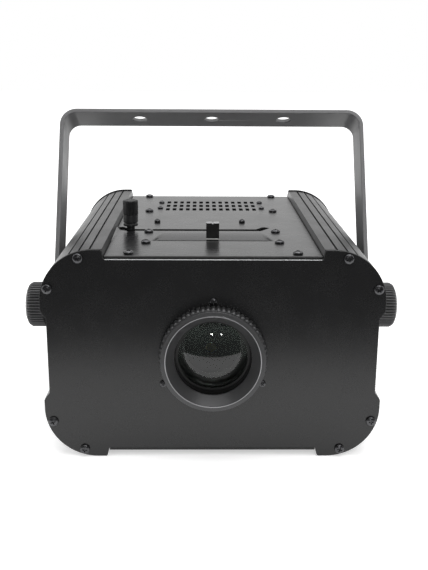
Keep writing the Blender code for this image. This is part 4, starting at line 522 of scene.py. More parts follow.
class Material(Enum):
    """The finishes of this projector."""

    # Polyester powder coat on sheet steel: satin, faintly pebbled, it mirrors broad shapes softly.
    SHEET_COAT = Finish("powder_coated_sheet_steel", Surface.POWDER_COATED, "#161617", 0.30, worn="#1a1a1b")
    # The front plate's coat went on thicker and flowed smoother, so it mirrors the table as a soft gradient.
    PLATE_COAT = Finish("thick_powder_coat_on_plate", Surface.POWDER_COATED, "#101011", 0.26, worn="#131314")
    # The cover's thin coat lets the lengthwise marks of the rolled sheet through.
    COVER_COAT = Finish("powder_coated_rolled_sheet", Surface.ROLLED, "#161617", 0.28, worn="#1a1a1b")
    # The yoke's coat is matt and greyer, as a textured coat scatters more light.
    YOKE_COAT = Finish("matt_powder_coated_steel_bar", Surface.POWDER_COATED, "#606061", 0.46, worn="#686869")
    # The same coat over extruded aluminium, a little duller along the drawn ribs.
    RAIL_COAT = Finish(
        "powder_coated_aluminium_extrusion", Surface.POWDER_COATED, "#19191a", 0.36, worn="#1d1d1e"
    )
    # The thinly coated cut edge of a sheet: rough and darker, so it stays black where the faces shine.
    # On the top cover it is also painted shade, darkening the gap along the front fold and the upright walls.
    CUT_EDGE_AND_PAINTED_SHADE = Finish("sheared_edge_and_painted_gap_shade", Surface.SHEARED, "#0d0d0d", 0.62, worn="#101010")
    # Painted highlight: a pale metal on the upward faces of the front plate's top notch, drawing its thin
    # bright line.
    PAINTED_NOTCH_HIGHLIGHT = Finish("pale_metal_painted_notch_highlight", Surface.BRUSHED, "#dedfe0", 0.46, 1.0, worn="#d2d3d4")
    # Painted highlight: a pale satin metal on the tab's upward faces and on the focus ring's bead,
    # drawing the bright rim and arcs where these edges catch the lamps.
    PAINTED_EDGE_HIGHLIGHT = Finish("pale_metal_painted_edge_highlight", Surface.BRUSHED, "#a8a8aa", 0.40, 1.0, worn="#9a9a9c")
    # Painted highlight: a pale metal strip at the tab's foot, drawing the thin bright line there.
    PAINTED_STRIP_HIGHLIGHT = Finish("pale_metal_painted_strip_highlight", Surface.BRUSHED, "#b5b5b3", 0.5, 0.4, worn="#a9a9a7")
    # Black anodised turned aluminium: soft metallic sheen with fine turning marks.
    ANODISED_RING = Finish("anodised_turned_aluminium", Surface.TURNED, "#434344", 0.34, 0.5, worn="#4a4a4b")
    # Matt black anodising inside the optics, which swallows stray light.
    OPTIC_BLACK = Finish("matt_anodised_aluminium", Surface.ANODISED, "#0b0b0b", 0.55, worn="#0e0e0e")
    # The baffles' turned edges have the same black, worn a little satin.
    BAFFLE_BLACK = Finish("satin_black_baffle", Surface.TURNED, "#1c1c1c", 0.32, 0.3, worn="#222222")
    # Nylon of the zoom knob and the fan, from a spark-eroded mould.
    NYLON = Finish("moulded_nylon", Surface.MOULDED, "#1d1d1e", 0.44, ior=1.53, worn="#232324")
    # The clamp knobs' nylon is greyer, with glass fibres near its skin.
    KNOB_NYLON = Finish("glass_filled_nylon", Surface.MOULDED, "#3a3a3b", 0.34, ior=1.53, worn="#424243")
    # Polished ABS of the switch, the inlet and the fuse holder.
    ABS = Finish("moulded_abs", Surface.MOULDED, "#131314", 0.32, ior=1.54, worn="#171718")
    # Black zinc on pressed steel screws and washers: dark with hard small glints.
    BLACK_ZINC = Finish("black_zinc_steel", Surface.TURNED, "#4c4c4e", 0.26, 1.0, worn="#5a5a5b")
    # Blackened sheet steel of the gobo holder, its disc and clip, the gate and the zoom's cam plate.
    BLACKENED_STEEL = Finish("blackened_sheet_steel", Surface.BRUSHED, "#131313", 0.42, 0.3, worn="#181818")
    # Mill finish aluminium of the tray and the power supply's case: pale, softly brushed by the rollers.
    MILL_ALUMINIUM = Finish("mill_finish_aluminium", Surface.BRUSHED, "#b4b5b7", 0.36, 1.0, worn="#a6a7a9")
    # Ground steel of the guide rods and the pivot blocks.
    GROUND_STEEL = Finish("ground_steel", Surface.BRUSHED, "#a3a3a4", 0.24, 1.0, worn="#8f8f91")
    # Nickel plated wire of the fan guard.
    WIRE = Finish("plated_steel_wire", Surface.POLISHED, "#8d8e90", 0.22, 1.0, worn="#7c7d80")
    # Pressed vulcanised fibre washer.
    FIBRE = Finish("vulcanised_fibre", Surface.MOULDED, "#121212", 0.75, worn="#171717")
    # The inner lens faces' anti-reflection coat leaves an eighth of the bare glare, faintly green.
    COATED_GLASS = Finish(
        "anti_reflection_coated_glass",
        Surface.POLISHED,
        "#f3f6f4",
        0.0,
        ior=1.52,
        transmission=1.0,
        bare_glare=0.12,
    )
    # Crown glass whose polished front face still mirrors the lamps and the table.
    LENS_GLASS = Finish("coated_crown_glass", Surface.POLISHED, "#f1f5f2", 0.0, ior=1.52, transmission=1.0)
    # Phosphor over the diodes.
    PHOSPHOR = Finish("silicate_phosphor", Surface.MOULDED, "#b49a48", 0.5, worn="#a58c3e")


MATERIALS: dict[Material, bpy.types.Material] = {}


def material(kind: Material) -> bpy.types.Material:
    """Return a finish's material, built once."""
    if kind not in MATERIALS:
        MATERIALS[kind] = kind.value.build()
    return MATERIALS[kind]


PIECES: list[bpy.types.Object] = []


@dataclass
class Assembly:
    """A sub-assembly that rides on one body of the model."""

    body: str
    made: list[str] = field(default_factory=list)

    def add(
        self,
        mesh: bpy.types.Mesh,
        kind: Material,
        slot: str,
        replaced: Sequence[str] = (),
        body: str = "",
        others: Sequence[Material] = (),
    ) -> bpy.types.Object:
        """Make a piece of a mesh.

        Args:
            mesh: The piece's mesh, already in the world's place.
            kind: Its finish.
            slot: The record's material slot.
            replaced: The solids that the piece stands for.
            body: The body that it rides on, where that isn't the sub-assembly's own.
            others: The finishes of the faces that have material number 1 and up.

        Returns:
            The object.
        """
        for finish in (kind, *others):
            mesh.materials.append(material(finish))
        piece = linked(mesh.name, mesh)
        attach(piece, body or self.body)
        if replaced:
            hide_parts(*replaced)
        self.made.append(piece.name)
        PIECES.append(piece)
        return piece

    def report(self) -> None:
        """Log the pieces made."""
        LOG.info("%s: %s", type(self).__name__, ", ".join(self.made))


def linked(name: str, data: bpy.types.ID) -> bpy.types.Object:
    """Return a new object of a mesh, lamp or camera, in the scene."""
    made = bpy.data.objects.new(name, data)
    bpy.context.scene.collection.objects.link(made)
    return made


def applied(piece: bpy.types.Object) -> bpy.types.Mesh:
    """Apply a piece's modifiers to its mesh and return it."""
    bpy.context.view_layer.update()
    graph = bpy.context.evaluated_depsgraph_get()
    mesh = bpy.data.meshes.new_from_object(piece.evaluated_get(graph))
    mesh.name = piece.data.name
    piece.modifiers.clear()
    piece.data = mesh
    return mesh


def shade(mesh: bpy.types.Mesh) -> None:
    """Shade a mesh smooth between its sharp edges."""
    mesh.shade_smooth()
    mesh.set_sharp_from_angle(angle=SMOOTH_ANGLE)


def soften(piece: bpy.types.Object, width: float, angle: float) -> bpy.types.Mesh:
    """Round a piece's edges that turn by more than an angle, apply it and return the mesh."""
    rounding = piece.modifiers.new("edges", "BEVEL")
    rounding.width = width
    rounding.segments = 2
    rounding.limit_method = "ANGLE"
    rounding.angle_limit = angle
    mesh = applied(piece)
    shade(mesh)
    return mesh


def settle_normals(pieces: Sequence[bpy.types.Object]) -> None:
    """Shade every piece after its large faces, so that flats look flat beside their rounded rims."""
    settled: dict[str, bpy.types.Mesh] = {}
    for piece in pieces:
        name = piece.data.name
        if name not in settled:
            modifier = piece.modifiers.new("flats", "WEIGHTED_NORMAL")
            modifier.weight = 80
            modifier.keep_sharp = True
            settled[name] = applied(piece)
        piece.data = settled[name]


def cut(piece: bpy.types.Object, tools: Sequence[bpy.types.Mesh]) -> None:
    """Cut shapes out of a piece and apply the cuts."""
    cutters = []
    for tool in tools:
        cutter = linked("cutter", tool)
        modifier = piece.modifiers.new("cut", "BOOLEAN")
        modifier.operation = "DIFFERENCE"
        modifier.object = cutter
        cutters.append(cutter)
    mesh = applied(piece)
    for cutter in cutters:
        bpy.data.objects.remove(cutter)
    shade(mesh)


@dataclass
class Shell(Assembly):
    """The body: two ribbed side rails between two end plates, and the covers between the rails."""

    width: float = 0.245
    height: float = 0.157
    depth: float = 0.260
    plate: float = 0.0025
    corner: float = 0.038
    wall: float = 0.003
    recess: float = 0.004
    recess_half_height: float = 0.0285
    recess_slant: float = 0.005
    recess_fillet: float = 0.0025
    channel: float = 0.0779
    channel_slant: float = 0.0012
    ledge: float = 0.006
    top_notch: float = 0.0070
    bottom_notch: float = 0.0065
    notch_fillet: float = 0.0012
    top_sink: float = 0.005
    bottom_sink: float = 0.0035
    sheet: float = 0.0015
    gap: float = 0.0003
    groove_angles: tuple[float, ...] = (2.5, 14.0, 25.5)
    groove_width: float = 0.0016
    groove_depth: float = 0.0014
    port_radius: float = 0.0014
    port_inset: float = 0.0045
    port_angles: tuple[float, float] = (17.0, 73.0)
    lens_hole: float = 0.0338
    plate_rim: float = 0.0004
    cover_rim: float = 0.0003
    bolt_radius: float = 0.0051

    @property
    def half_width(self) -> float:
        """Half the body's width."""
        return self.width / 2

    @property
    def half_height(self) -> float:
        """Half the body's height."""
        return self.height / 2

    @property
    def foot(self) -> float:
        """Half the channel's width at its foot."""
        return self.channel - self.channel_slant

    @property
    def top(self) -> float:
        """The top cover's height."""
        return self.half_height - self.top_sink

    @property
    def ends(self) -> Point:
        """Where the rails and covers start and end, clear of the end plates."""
        return self.plate + self.gap, self.depth - self.plate - self.gap

    def corner_arc(self, radius: float, grooves: bool) -> Outline:
        """Return the upper right corner from its top to its side, with its lengthwise grooves."""
        spots: Outline = [(0.0, radius)]
        half = self.groove_width / 2 / self.corner
        for angle in self.groove_angles if grooves else ():
            centre = math.radians(angle)
            for offset, sunk in ((-1.0, 0.0), (-0.7, 1.0), (0.7, 1.0), (1.0, 0.0)):
                spots.append((centre + offset * half, radius - sunk * self.groove_depth))
        start = spots[-1][0]
        count = 20
        spots += [(start + (math.pi / 2 - start) * (index + 1) / count, radius) for index in range(count)]
        x, z = self.half_width - self.corner, self.half_height - self.corner
        return [(x + r * math.sin(turn), z + r * math.cos(turn)) for turn, r in spots]

    def side_path(self, grow: float, grooves: bool) -> Outline:
        """Return the right side's skin from its top corner to its bottom corner."""
        upper = self.corner_arc(self.corner + grow, grooves)
        bulge, flat = self.half_width + grow, self.half_width - self.recess + grow
        bend = [upper[-1], (bulge, self.recess_half_height + self.recess_slant)]
        bend.append((flat, self.recess_half_height))
        upper += filleted(bend + [(flat, 0.0)], self.recess_fillet, 4, closed=False)[1:-1]
        return upper + [(x, -z) for x, z in reversed(upper)]

    def rail_section(self) -> Outline:
        """Return the right rail's section: skin, channel walls and the ledges that carry the covers."""
        under_top = self.top - self.sheet - self.gap
        under_bottom = self.half_height - self.bottom_sink - self.sheet - self.gap
        tip = self.foot - self.ledge

        def lip(level: float) -> Outline:
            ledge = [(tip, level - self.wall), (tip, level), (self.foot, level)]
            return ledge + [(self.channel, self.half_height)]

        def inside(level: float) -> Outline:
            ceiling = (self.channel + self.wall, self.half_height - self.wall)
            return [ceiling, (self.channel, level - self.wall)]

        section = lip(under_top) + self.side_path(0.0, True)
        section += [(x, -z) for x, z in reversed(lip(under_bottom))]
        section += [(x, -z) for x, z in reversed(inside(under_bottom))]
        section += list(reversed(self.side_path(-self.wall, False)))
        section += inside(under_top)
        return section

    def plate_outline(self, grow: float = 0.0, flush_below: bool = False) -> Outline:
        """Return an end plate's outline, with the shallow channel between the rails above and below."""
        foot_top, foot_bottom = self.half_height - self.top_notch, self.bottom_notch - self.half_height
        low = -self.half_height - (0.0 if flush_below else grow)

        def notch(foot: float, rim: float, order: int) -> Outline:
            beyond = self.channel + 0.01
            line = [(0.0, foot), (self.foot, foot), (self.channel, rim), (beyond, rim)]
            return filleted(line[::order], self.notch_fillet, 4, closed=False)[1:-1]

        skin = [(x, max(z, low)) for x, z in self.side_path(grow, False)]
        side = notch(foot_top, self.half_height + grow, 1) + skin + notch(foot_bottom, low, -1)
        return side + [(-x, z) for x, z in reversed(side)]

    def ports(self) -> list[Point]:
        """Return the eight screw places of an end plate."""
        radius = self.corner - self.port_inset
        x0, z0 = self.half_width - self.corner, self.half_height - self.corner
        places: list[Point] = []
        for angle in self.port_angles:
            x = x0 + radius * math.sin(math.radians(angle))
            z = z0 + radius * math.cos(math.radians(angle))
            places += [(x, z), (x, -z), (-x, z), (-x, -z)]
        return places

    def port_holes(self) -> list[Outline]:
        """Return the eight screw holes of an end plate."""
        return [circle(self.port_radius, port, 16) for port in self.ports()]

    def make_rails(self) -> None:
        """Make the two side rails, drawn with three grooves along each upper and lower corner."""
        start, end = self.ends
        for name, side in (("left", -1), ("right", 1)):
            section = [(side * x, z) for x, z in self.rail_section()]
            mesh = prism_mesh("ribbed_side_rail_" + name, [section], start, end, 0.0, facing_front())
            rail = self.add(mesh, Material.RAIL_COAT, "coated_extrusion", ["side_extrusion_" + name])
            turn = facing_side(side, self.half_width - self.recess, *PIVOT)
            hole = disc(self.bolt_radius, -2 * self.wall, 2 * self.wall)
            cut(rail, [turned_mesh("bolt_hole", hole, 32, turn=turn)])

    def make_front_plate(self) -> None:
        """Make the front plate: a flat coated sheet whose cut edge stays dark."""
        holes = self.port_holes() + [circle(self.lens_hole, count=96)]
        outlines = [self.plate_outline()] + holes
        mesh = prism_mesh("front_panel", outlines, 0.0, self.plate, self.plate_rim, facing_front())
        self.mark_edges(mesh)
        others = [Material.CUT_EDGE_AND_PAINTED_SHADE, Material.PAINTED_NOTCH_HIGHLIGHT]
        self.add(mesh, Material.PLATE_COAT, "coated_sheet", ["front_plate"], others=others)

    def mark_edges(self, mesh: bpy.types.Mesh) -> None:
        """Give the cut edge of an end plate its rougher, darker finish, and material 2 to the notch's upward
        faces, which on the front plate is a painted pale highlight line.
        """
        milled = self.half_height - self.top_notch - 0.001
        for face in mesh.polygons:
            centre = face.center - LENS_AXIS
            if math.hypot(centre.x, centre.z) < 0.05 or abs(face.normal.y) > 0.97:
                continue
            # Painted highlight: the notch's upward faces take material 2, pale metal on the front plate.
            if abs(centre.x) < self.foot - self.plate and centre.z > milled and face.normal.z > 0.9:
                face.material_index = 2
            elif abs(face.normal.y) < 0.8:
                face.material_index = 1

    def make_covers(self) -> None:
        """Make the top and bottom covers."""
        TopCover(self.body).make(self)
        start, end = self.ends
        vents = slot_field(counts=(7, 3), pitch=(0.01206, 0.018), size=(0.003, 0.0105), fillet=0.0014)
        outline = rectangle(2 * (self.foot - self.gap), end - start, (0.0, (start + end) / 2))
        low = -self.half_height + self.bottom_sink
        outlines = [outline] + vents
        mesh = prism_mesh("bottom_panel", outlines, 0.0, self.sheet, self.cover_rim, facing_up(z=low))
        self.add(mesh, Material.SHEET_COAT, "coated_sheet", ["bottom_cover"])


def slot_field(
    counts: tuple[int, int], pitch: Point, size: Point, fillet: float, steps: int = 4
) -> list[Outline]:
    """Return a field of round-ended vent slots, in columns and rows."""
    columns, rows = counts
    slots = []
    for row in range(rows):
        for column in range(columns):
            x = (column - (columns - 1) / 2) * pitch[0]
            y = VENT_CENTRE_Y + (row - (rows - 1) / 2) * pitch[1]
            slots.append(filleted(rectangle(*size, (x, y)), fillet, steps))
    return slots


@dataclass
class TopCover(Assembly):
    """The top cover: a folded sheet with vents, the zoom slot and the pressed recess behind the gobo slot."""

    vent_counts: tuple[int, int] = (14, 3)
    vent_pitch: Point = (0.00603, 0.018)
    vent_size: Point = (0.0034, 0.0112)
    vent_fillet: float = 0.0008
    slot_y: float = 0.0918
    slot_width: float = 0.0066
    slot_left: float = -0.0678
    slot_right: float = 0.0371
    slot_run: Point = (0.0073, 0.0110)
    slot_fillet: float = 0.0018
    mouth_front: float = 0.0515
    mouth_half: float = 0.0472
    gobo_slot: float = 0.0095
    recess_rear: float = 0.082
    recess_rear_half: float = 0.040
    recess_drop: float = 0.0017
    bend: float = 0.0014
    flange: float = 0.009
    # How upright a cover face must be to take the dark edge finish as painted shade.
    painted_shade_tilt: float = 0.85

    def zoom_slot(self) -> Outline:
        """Return the zoom slot: a straight run whose ends turn back."""
        half = self.slot_width / 2
        turn = math.atan2(self.slot_run[1], self.slot_run[0])
        mitre = half * math.tan(turn / 2)
        side = Vector((math.sin(turn), -math.cos(turn))) * half
        end = Vector((self.slot_right + self.slot_run[0], self.slot_y + self.slot_run[1]))
        middle = (self.slot_left + self.slot_right) / 2
        run = [
            (self.slot_right + mitre, self.slot_y - half),
            (end.x + side.x, end.y + side.y),
            (end.x - side.x, end.y - side.y),
            (self.slot_right - mitre, self.slot_y + half),
        ]
        return filleted(run + [(2 * middle - x, y) for x, y in reversed(run)], self.slot_fillet, 4)

    def recess_point(self, share: float, across: float) -> tuple[float, float, float]:
        """Return a point of the pressed ramp, by its share from rear to front and from side to side."""
        wall_start, wall_blend, rim_blend = 0.93, 0.04, 0.07
        slot_rear = self.mouth_front + self.gobo_slot
        closed = smooth_step((abs(across) - wall_start) / wall_blend)
        y = self.recess_rear + (slot_rear - closed * self.gobo_slot - self.recess_rear) * share
        reach = (self.recess_rear - y) / (self.recess_rear - self.mouth_front)
        half = self.recess_rear_half + (self.mouth_half - self.recess_rear_half) * reach
        depth = min(1.0, (self.recess_rear - y) / (self.recess_rear - slot_rear))
        wall = smooth_step((1.0 - abs(across)) / rim_blend)
        return half * across, y, -self.recess_drop * depth**1.5 * wall

    def make(self, shell: Shell) -> None:
        """Make the cover as one surface with its holes, and give it the sheet's thickness."""
        half = shell.foot - shell.gap
        start, end = shell.ends
        columns, rows = 80, 12
        work = bmesh.new()
        grid = []
        for row in range(rows + 1):
            spots = [self.recess_point(row / rows, 2 * column / columns - 1) for column in range(columns + 1)]
            grid.append([work.verts.new(spot) for spot in spots])
        for low, high in zip(grid, grid[1:]):
            for index in range(columns):
                work.faces.new([low[index], low[index + 1], high[index + 1], high[index]])
        mouth = [line[0] for line in reversed(grid)] + grid[0][1:] + [line[-1] for line in grid[1:]]
        rim = edge_loop(work, mouth)
        outer = rectangle(2 * half, end - start - 2 * self.bend, (0.0, (start + end) / 2))
        corners = [work.verts.new((x, y, 0.0)) for x, y in outer]
        rim += edge_loop(work, corners)
        vents = slot_field(self.vent_counts, self.vent_pitch, self.vent_size, self.vent_fillet, 3)
        for outline in vents + [self.zoom_slot()]:
            rim += edge_loop(work, [work.verts.new((x, y, 0.0)) for x, y in outline])
        bmesh.ops.triangle_fill(work, use_beauty=True, use_dissolve=False, edges=rim)
        fold = [(math.sin(angle), math.cos(angle) - 1) for angle in quarter(6)[1:]]
        fold.append((1.0, -self.flange / self.bend))
        for first, second, sign in ((corners[0], corners[1], -1), (corners[2], corners[3], 1)):
            previous = [first, second]
            for out, down in fold:
                move = self.bend * Vector((0.0, sign * out, down))
                edge = [work.verts.new(corner.co + move) for corner in (first, second)]
                work.faces.new([previous[0], previous[1], edge[1], edge[0]])
                previous = edge
        bmesh.ops.recalc_face_normals(work, faces=work.faces)
        if sum(face.normal.z * face.calc_area() for face in work.faces) < 0:
            bmesh.ops.reverse_faces(work, faces=work.faces)
        work.transform(facing_up(z=shell.top))
        mesh = bpy.data.meshes.new("top_panel")
        work.to_mesh(mesh)
        work.free()
        cover = self.add(mesh, Material.COVER_COAT, "coated_sheet", ["top_cover"], others=[Material.CUT_EDGE_AND_PAINTED_SHADE])
        sheet = cover.modifiers.new("sheet", "SOLIDIFY")
        sheet.thickness = shell.sheet
        sheet.offset = -1.0
        mesh = soften(cover, 0.00025, math.radians(50.0))
        # Painted shade: every face steeper than the tilt limit, the folds and the walls of vents and slots,
        # takes the darker edge finish, which darkens the gap along the front fold.
        for face in mesh.polygons:
            if abs(face.normal.z) < self.painted_shade_tilt:
                face.material_index = 1
        self.report()


@dataclass
class Fasteners(Assembly):
    """The pan-head screws of the covers and plates."""

    head: float = 0.0036
    height: float = 0.0024
    sink: float = 0.0006
    bite: float = 0.0002

    def screw_mesh(self, name: str, radius: float, height: float) -> bpy.types.Mesh:
        """Return a domed head along local Z with its cross recess, its seat at height 0."""
        shank, rim = radius * 0.6, height * 0.42
        profile = [(0.0, -self.sink), (shank, -self.sink), (shank, 0.0), (radius * 0.93, 0.0)]
        profile += [(radius, height * 0.16), (radius, rim)]
        for turn in quarter(7)[1:-1]:
            profile.append((radius * math.cos(turn) * 0.98, rim + (height - rim) * math.sin(turn)))
        profile.append((0.0, height))
        piece = linked(name, turned_mesh(name, profile, 36))
        arm, half = radius * 0.52, radius * 0.13
        cross = [(arm, -half), (arm, half), (half, half), (half, arm), (-half, arm), (-half, half)]
        cross += [(-x, -y) for x, y in cross]
        cut(piece, [prism_mesh("cross", [cross], height * 0.35, height * 1.5)])
        result = piece.data
        bpy.data.objects.remove(piece)
        result.materials.append(material(Material.BLACK_ZINC))
        return result

    def put(
        self, name: str, mesh: bpy.types.Mesh, spot: Matrix, turn: float, replaced: Sequence[str] = ()
    ) -> None:
        """Put one screw at a place, turned as it was left when tightened."""
        piece = linked(name, mesh)
        piece.matrix_world = spot @ Matrix.Rotation(turn, 4, "Z")
        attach(piece, self.body)
        if replaced:
            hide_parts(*replaced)
        self.made.append(name)
        PIECES.append(piece)

    def make(self, shell: Shell, flange_screws: Sequence[Point]) -> None:
        """Put all the screws in."""
        pan = self.screw_mesh("pan_screw", self.head, self.height)
        small = self.screw_mesh("small_screw", self.head * 0.72, self.height * 0.8)
        tall = self.screw_mesh("raised_screw", self.head * 0.72, self.height * 1.15)
        front = Matrix.Rotation(math.pi / 2, 4, "X")
        back = Matrix.Rotation(-math.pi / 2, 4, "X")
        for index, (x, z) in enumerate(shell.ports()):
            turn = 0.9 * index + 0.35
            number = str(index + 1)
            spot = facing_up(x, -self.bite, z) @ front
            self.put("panel_screw_" + number, pan, spot, turn, ["front_screw_" + number])
            spot = facing_up(x, shell.depth + self.bite, z) @ back
            self.put("rear_panel_screw_" + number, pan, spot, turn + 0.4)
        for index, (x, z) in enumerate(flange_screws):
            number = str(index + 1)
            spot = facing_up(x, -self.bite, z) @ front
            self.put("lens_flange_screw_" + number, small, spot, 0.5 * index, ["flange_screw_" + number])
        big = [(60.0, 252.0), (55.3, 173.7), (50.2, 84.5), (50.0, 45.8), (60.0, 10.8)]
        little = [(46.2, 217.6), (46.2, 188.5)]
        covers = [(side * x, y, pan) for x, y in big for side in (-1, 1)]
        covers += [(side * x, y, small) for x, y in little for side in (-1, 1)]
        for index, (x, y, mesh) in enumerate(covers):
            spot = facing_up(x * MM, y * MM, shell.top)
            self.put("cover_screw_" + str(index + 1), mesh, spot, 1.3 * (index + 1))
        for count, x in enumerate((-45.5, 25.4), len(covers) + 1):
            self.put("cover_screw_" + str(count), tall, facing_up(x * MM, 124.0 * MM, shell.top), 0.7 * count)
        under = Matrix.Rotation(math.pi, 4, "X")
        corners = [(x, y) for y in (252.0, 130.0, 10.8) for x in (-60.0, 60.0)]
        for index, (x, y) in enumerate(corners):
            spot = facing_up(x * MM, y * MM, -shell.half_height + shell.bottom_sink) @ under
            self.put("underside_screw_" + str(index + 1), pan, spot, index)
        self.report()


@dataclass
class Objective(Assembly):
    """The ribbed focus ring and the barrel with its coated lenses."""

    ring_body: str = "focus_ring"
    lens_body: str = "lens_group"
    screw_circle: float = 0.0414
    tube_length: float = 0.030
    rim: float = 0.0374
    rib: float = 0.0386
    projection: float = 0.012
    rim_width: float = 0.0034
    bead: float = 0.0005
    mouth: float = 0.0334
    throat: float = 0.0279
    throat_depth: float = -0.0044
    sleeve: Point = (0.0310, 0.0335)
    bore: float = 0.0277
    barrel_front: float = 0.0018
    retainer: float = 0.0020
    retainer_seat: float = 0.0012
    baffles: tuple[Point, ...] = ((0.0235, 0.0150), (0.0172, 0.0230))
    gap: float = 0.0003

    def screws(self) -> list[Point]:
        """Return the places of the flange's three screws."""
        turns = [math.radians(angle) for angle in (90.0, 210.0, 330.0)]
        return [(self.screw_circle * math.cos(turn), self.screw_circle * math.sin(turn)) for turn in turns]

    def make(self) -> None:
        """Make the objective's pieces."""
        self.make_ring()
        self.make_barrel()
        self.report()

    def make_ring(self) -> None:
        """Make the focus ring: smooth lip, ribbed grip, conical mouth and the sleeve inside the flange."""
        back = -self.gap
        front = -self.projection
        lip = front + self.rim_width
        grip = [
            (self.mouth + 0.0004, front - self.bead),
            (self.mouth + 0.0009, front - self.bead),
            (self.mouth + 0.0013, front),
            (self.rim, front),
            (self.rim, lip),
            (self.rib - 0.0009, lip + 0.0002),
            (self.rib, lip + 0.0012),
            (self.rib, back),
            (self.sleeve[1], back),
            (self.sleeve[1], self.tube_length),
            (self.sleeve[0], self.tube_length),
            (self.sleeve[0], self.throat_depth + 0.0014),
            (self.throat, self.throat_depth + 0.0014),
            (self.throat, self.throat_depth),
            (self.mouth, front + 0.0003),
        ]
        profile = filleted(grip, 0.0004, 4)
        ribs = Ribs(count=64, depth=0.0014, land=0.36)
        mesh = turned_mesh("ribbed_focus_ring", profile, 0, ribs, (lip + 0.0001, back), facing_rear())
        # Painted highlight: a narrow band on the bead round the mouth takes the pale edge finish, drawing its
        # bright arcs.
        for face in mesh.polygons:
            centre = face.center - LENS_AXIS
            proud = centre.y < front - 0.6 * self.bead
            if proud and abs(math.hypot(centre.x, centre.z) - self.mouth - 0.0006) < 0.0003:
                face.material_index = 1
        replaced = ["focus_ring"]
        others = [Material.PAINTED_EDGE_HIGHLIGHT]
        self.add(mesh, Material.ANODISED_RING, "black_anodised", replaced, self.ring_body, others)

    def make_barrel(self) -> None:
        """Make the front lens, its retaining ring and the two baffles in the barrel."""
        front, seat = self.barrel_front, self.retainer_seat
        radius = self.bore - self.gap
        curve, edge = 0.060, 0.004
        sag = math.sqrt(curve**2 - (radius - seat) ** 2) - math.sqrt(curve**2 - radius**2)
        edge_front = front + self.retainer + sag + self.gap
        deepest = math.asin(radius / curve)
        turns = [deepest * index / 16 for index in range(17)]
        crown = edge_front + curve * math.cos(deepest)
        profile = [(curve * math.sin(turn), crown - curve * math.cos(turn)) for turn in turns]
        profile += [(radius, edge_front + edge), (0.0, edge_front + edge)]
        mesh = turned_mesh("objective_front_lens", profile, 96, turn=facing_rear())
        for face in mesh.polygons:
            if face.normal.y > 0.9:
                face.material_index = 1
        others = [Material.COATED_GLASS]
        self.add(mesh, Material.LENS_GLASS, "coated_glass", ["front_lens"], self.lens_body, others)
        ring = [(radius - 2 * seat, front), (radius, front)]
        ring += [(radius, front + self.retainer), (radius - seat, front + self.retainer)]
        mesh = turned_mesh("lens_retaining_ring", filleted(ring, 0.0003, 3), 96, turn=facing_rear())
        self.add(mesh, Material.OPTIC_BLACK, "black_anodised", ["front_retainer"], self.lens_body)
        for index, (hole, depth) in enumerate(self.baffles):
            ring = [(hole, depth), (hole + 0.0008, depth - 0.0004)]
            ring += [(radius, depth - 0.0004), (radius, depth + 0.001)]
            mesh = turned_mesh("barrel_baffle_" + str(index + 1), ring, 96, turn=facing_rear())
            self.add(mesh, Material.BAFFLE_BLACK, "black_anodised", (), self.lens_body)


@dataclass
class GoboDrop(Assembly):
    """The gobo holder's notched handle and plate above the slot."""

    width: float = 0.0098
    thickness: float = 0.003
    y: float = 0.0563
    height: float = 0.0133
    depth: float = 0.0065
    neck: float = 0.0012
    notch: float = 0.0009
    seat: float = 0.0268
    seat_depth: float = 0.0022
    window: float = 0.0225
    shoulder_drop: float = 0.007

    def make(self, shell: Shell) -> None:
        """Make the holder with its stepped window and handle."""
        bottom, half, chamfer = -0.034, 0.043, 0.004
        shoulder = shell.top - shell.sheet - self.shoulder_drop
        top = shell.top + self.height
        stem = self.width / 2 - 0.0003
        right = [
            (half - chamfer, bottom),
            (half, bottom + chamfer),
            (half, shoulder),
            (stem, shoulder),
            (stem, top - 2 * self.notch),
        ]
        outline = filleted(right + [(-x, z) for x, z in reversed(right)], 0.0007, 3)
        start = self.y - self.thickness / 2
        outlines = [outline, circle(self.window, count=64)]
        end = start + self.thickness
        mesh = prism_mesh("gobo_slide_plate", outlines, start, end, 0.0003, facing_front())
        piece = self.add(mesh, Material.BLACKENED_STEEL, "black_steel", ["gobo_holder"])
        seat = disc(self.seat, -self.seat_depth, self.seat_depth)
        cut(piece, [turned_mesh("seat", seat, 64, turn=facing_rear(start))])
        tab = [
            (-self.width / 2, shell.top + self.neck),
            (self.width / 2, shell.top + self.neck),
            (self.width / 2, top),
            (self.notch, top),
            (0.0, top - self.notch),
            (-self.notch, top),
            (-self.width / 2, top),
        ]
        start -= 0.0003
        tab = filleted(tab, 0.0004, 3)
        mesh = prism_mesh("gobo_pull_tab", [tab], start, start + self.depth, 0.0005, facing_front())
        # Painted highlight: the tab's upward faces take the pale edge finish, a lighter top where the light
        # falls.
        for face in mesh.polygons:
            if face.normal.z > 0.6:
                face.material_index = 1
        self.add(mesh, Material.BLACKENED_STEEL, "black_steel", others=[Material.PAINTED_EDGE_HIGHLIGHT])
        # Painted highlight: a pale metal strip at the tab's foot draws the bright line along it.
        strip = rectangle(self.width - 0.0004, self.neck, (0.0, shell.top + 0.7 * self.neck))
        mesh = prism_mesh("gobo_tab_highlight_strip", [strip], start - 0.0002, start + 0.002, 0.0002, facing_front())
        self.add(mesh, Material.PAINTED_STRIP_HIGHLIGHT, "black_steel")
        self.report()


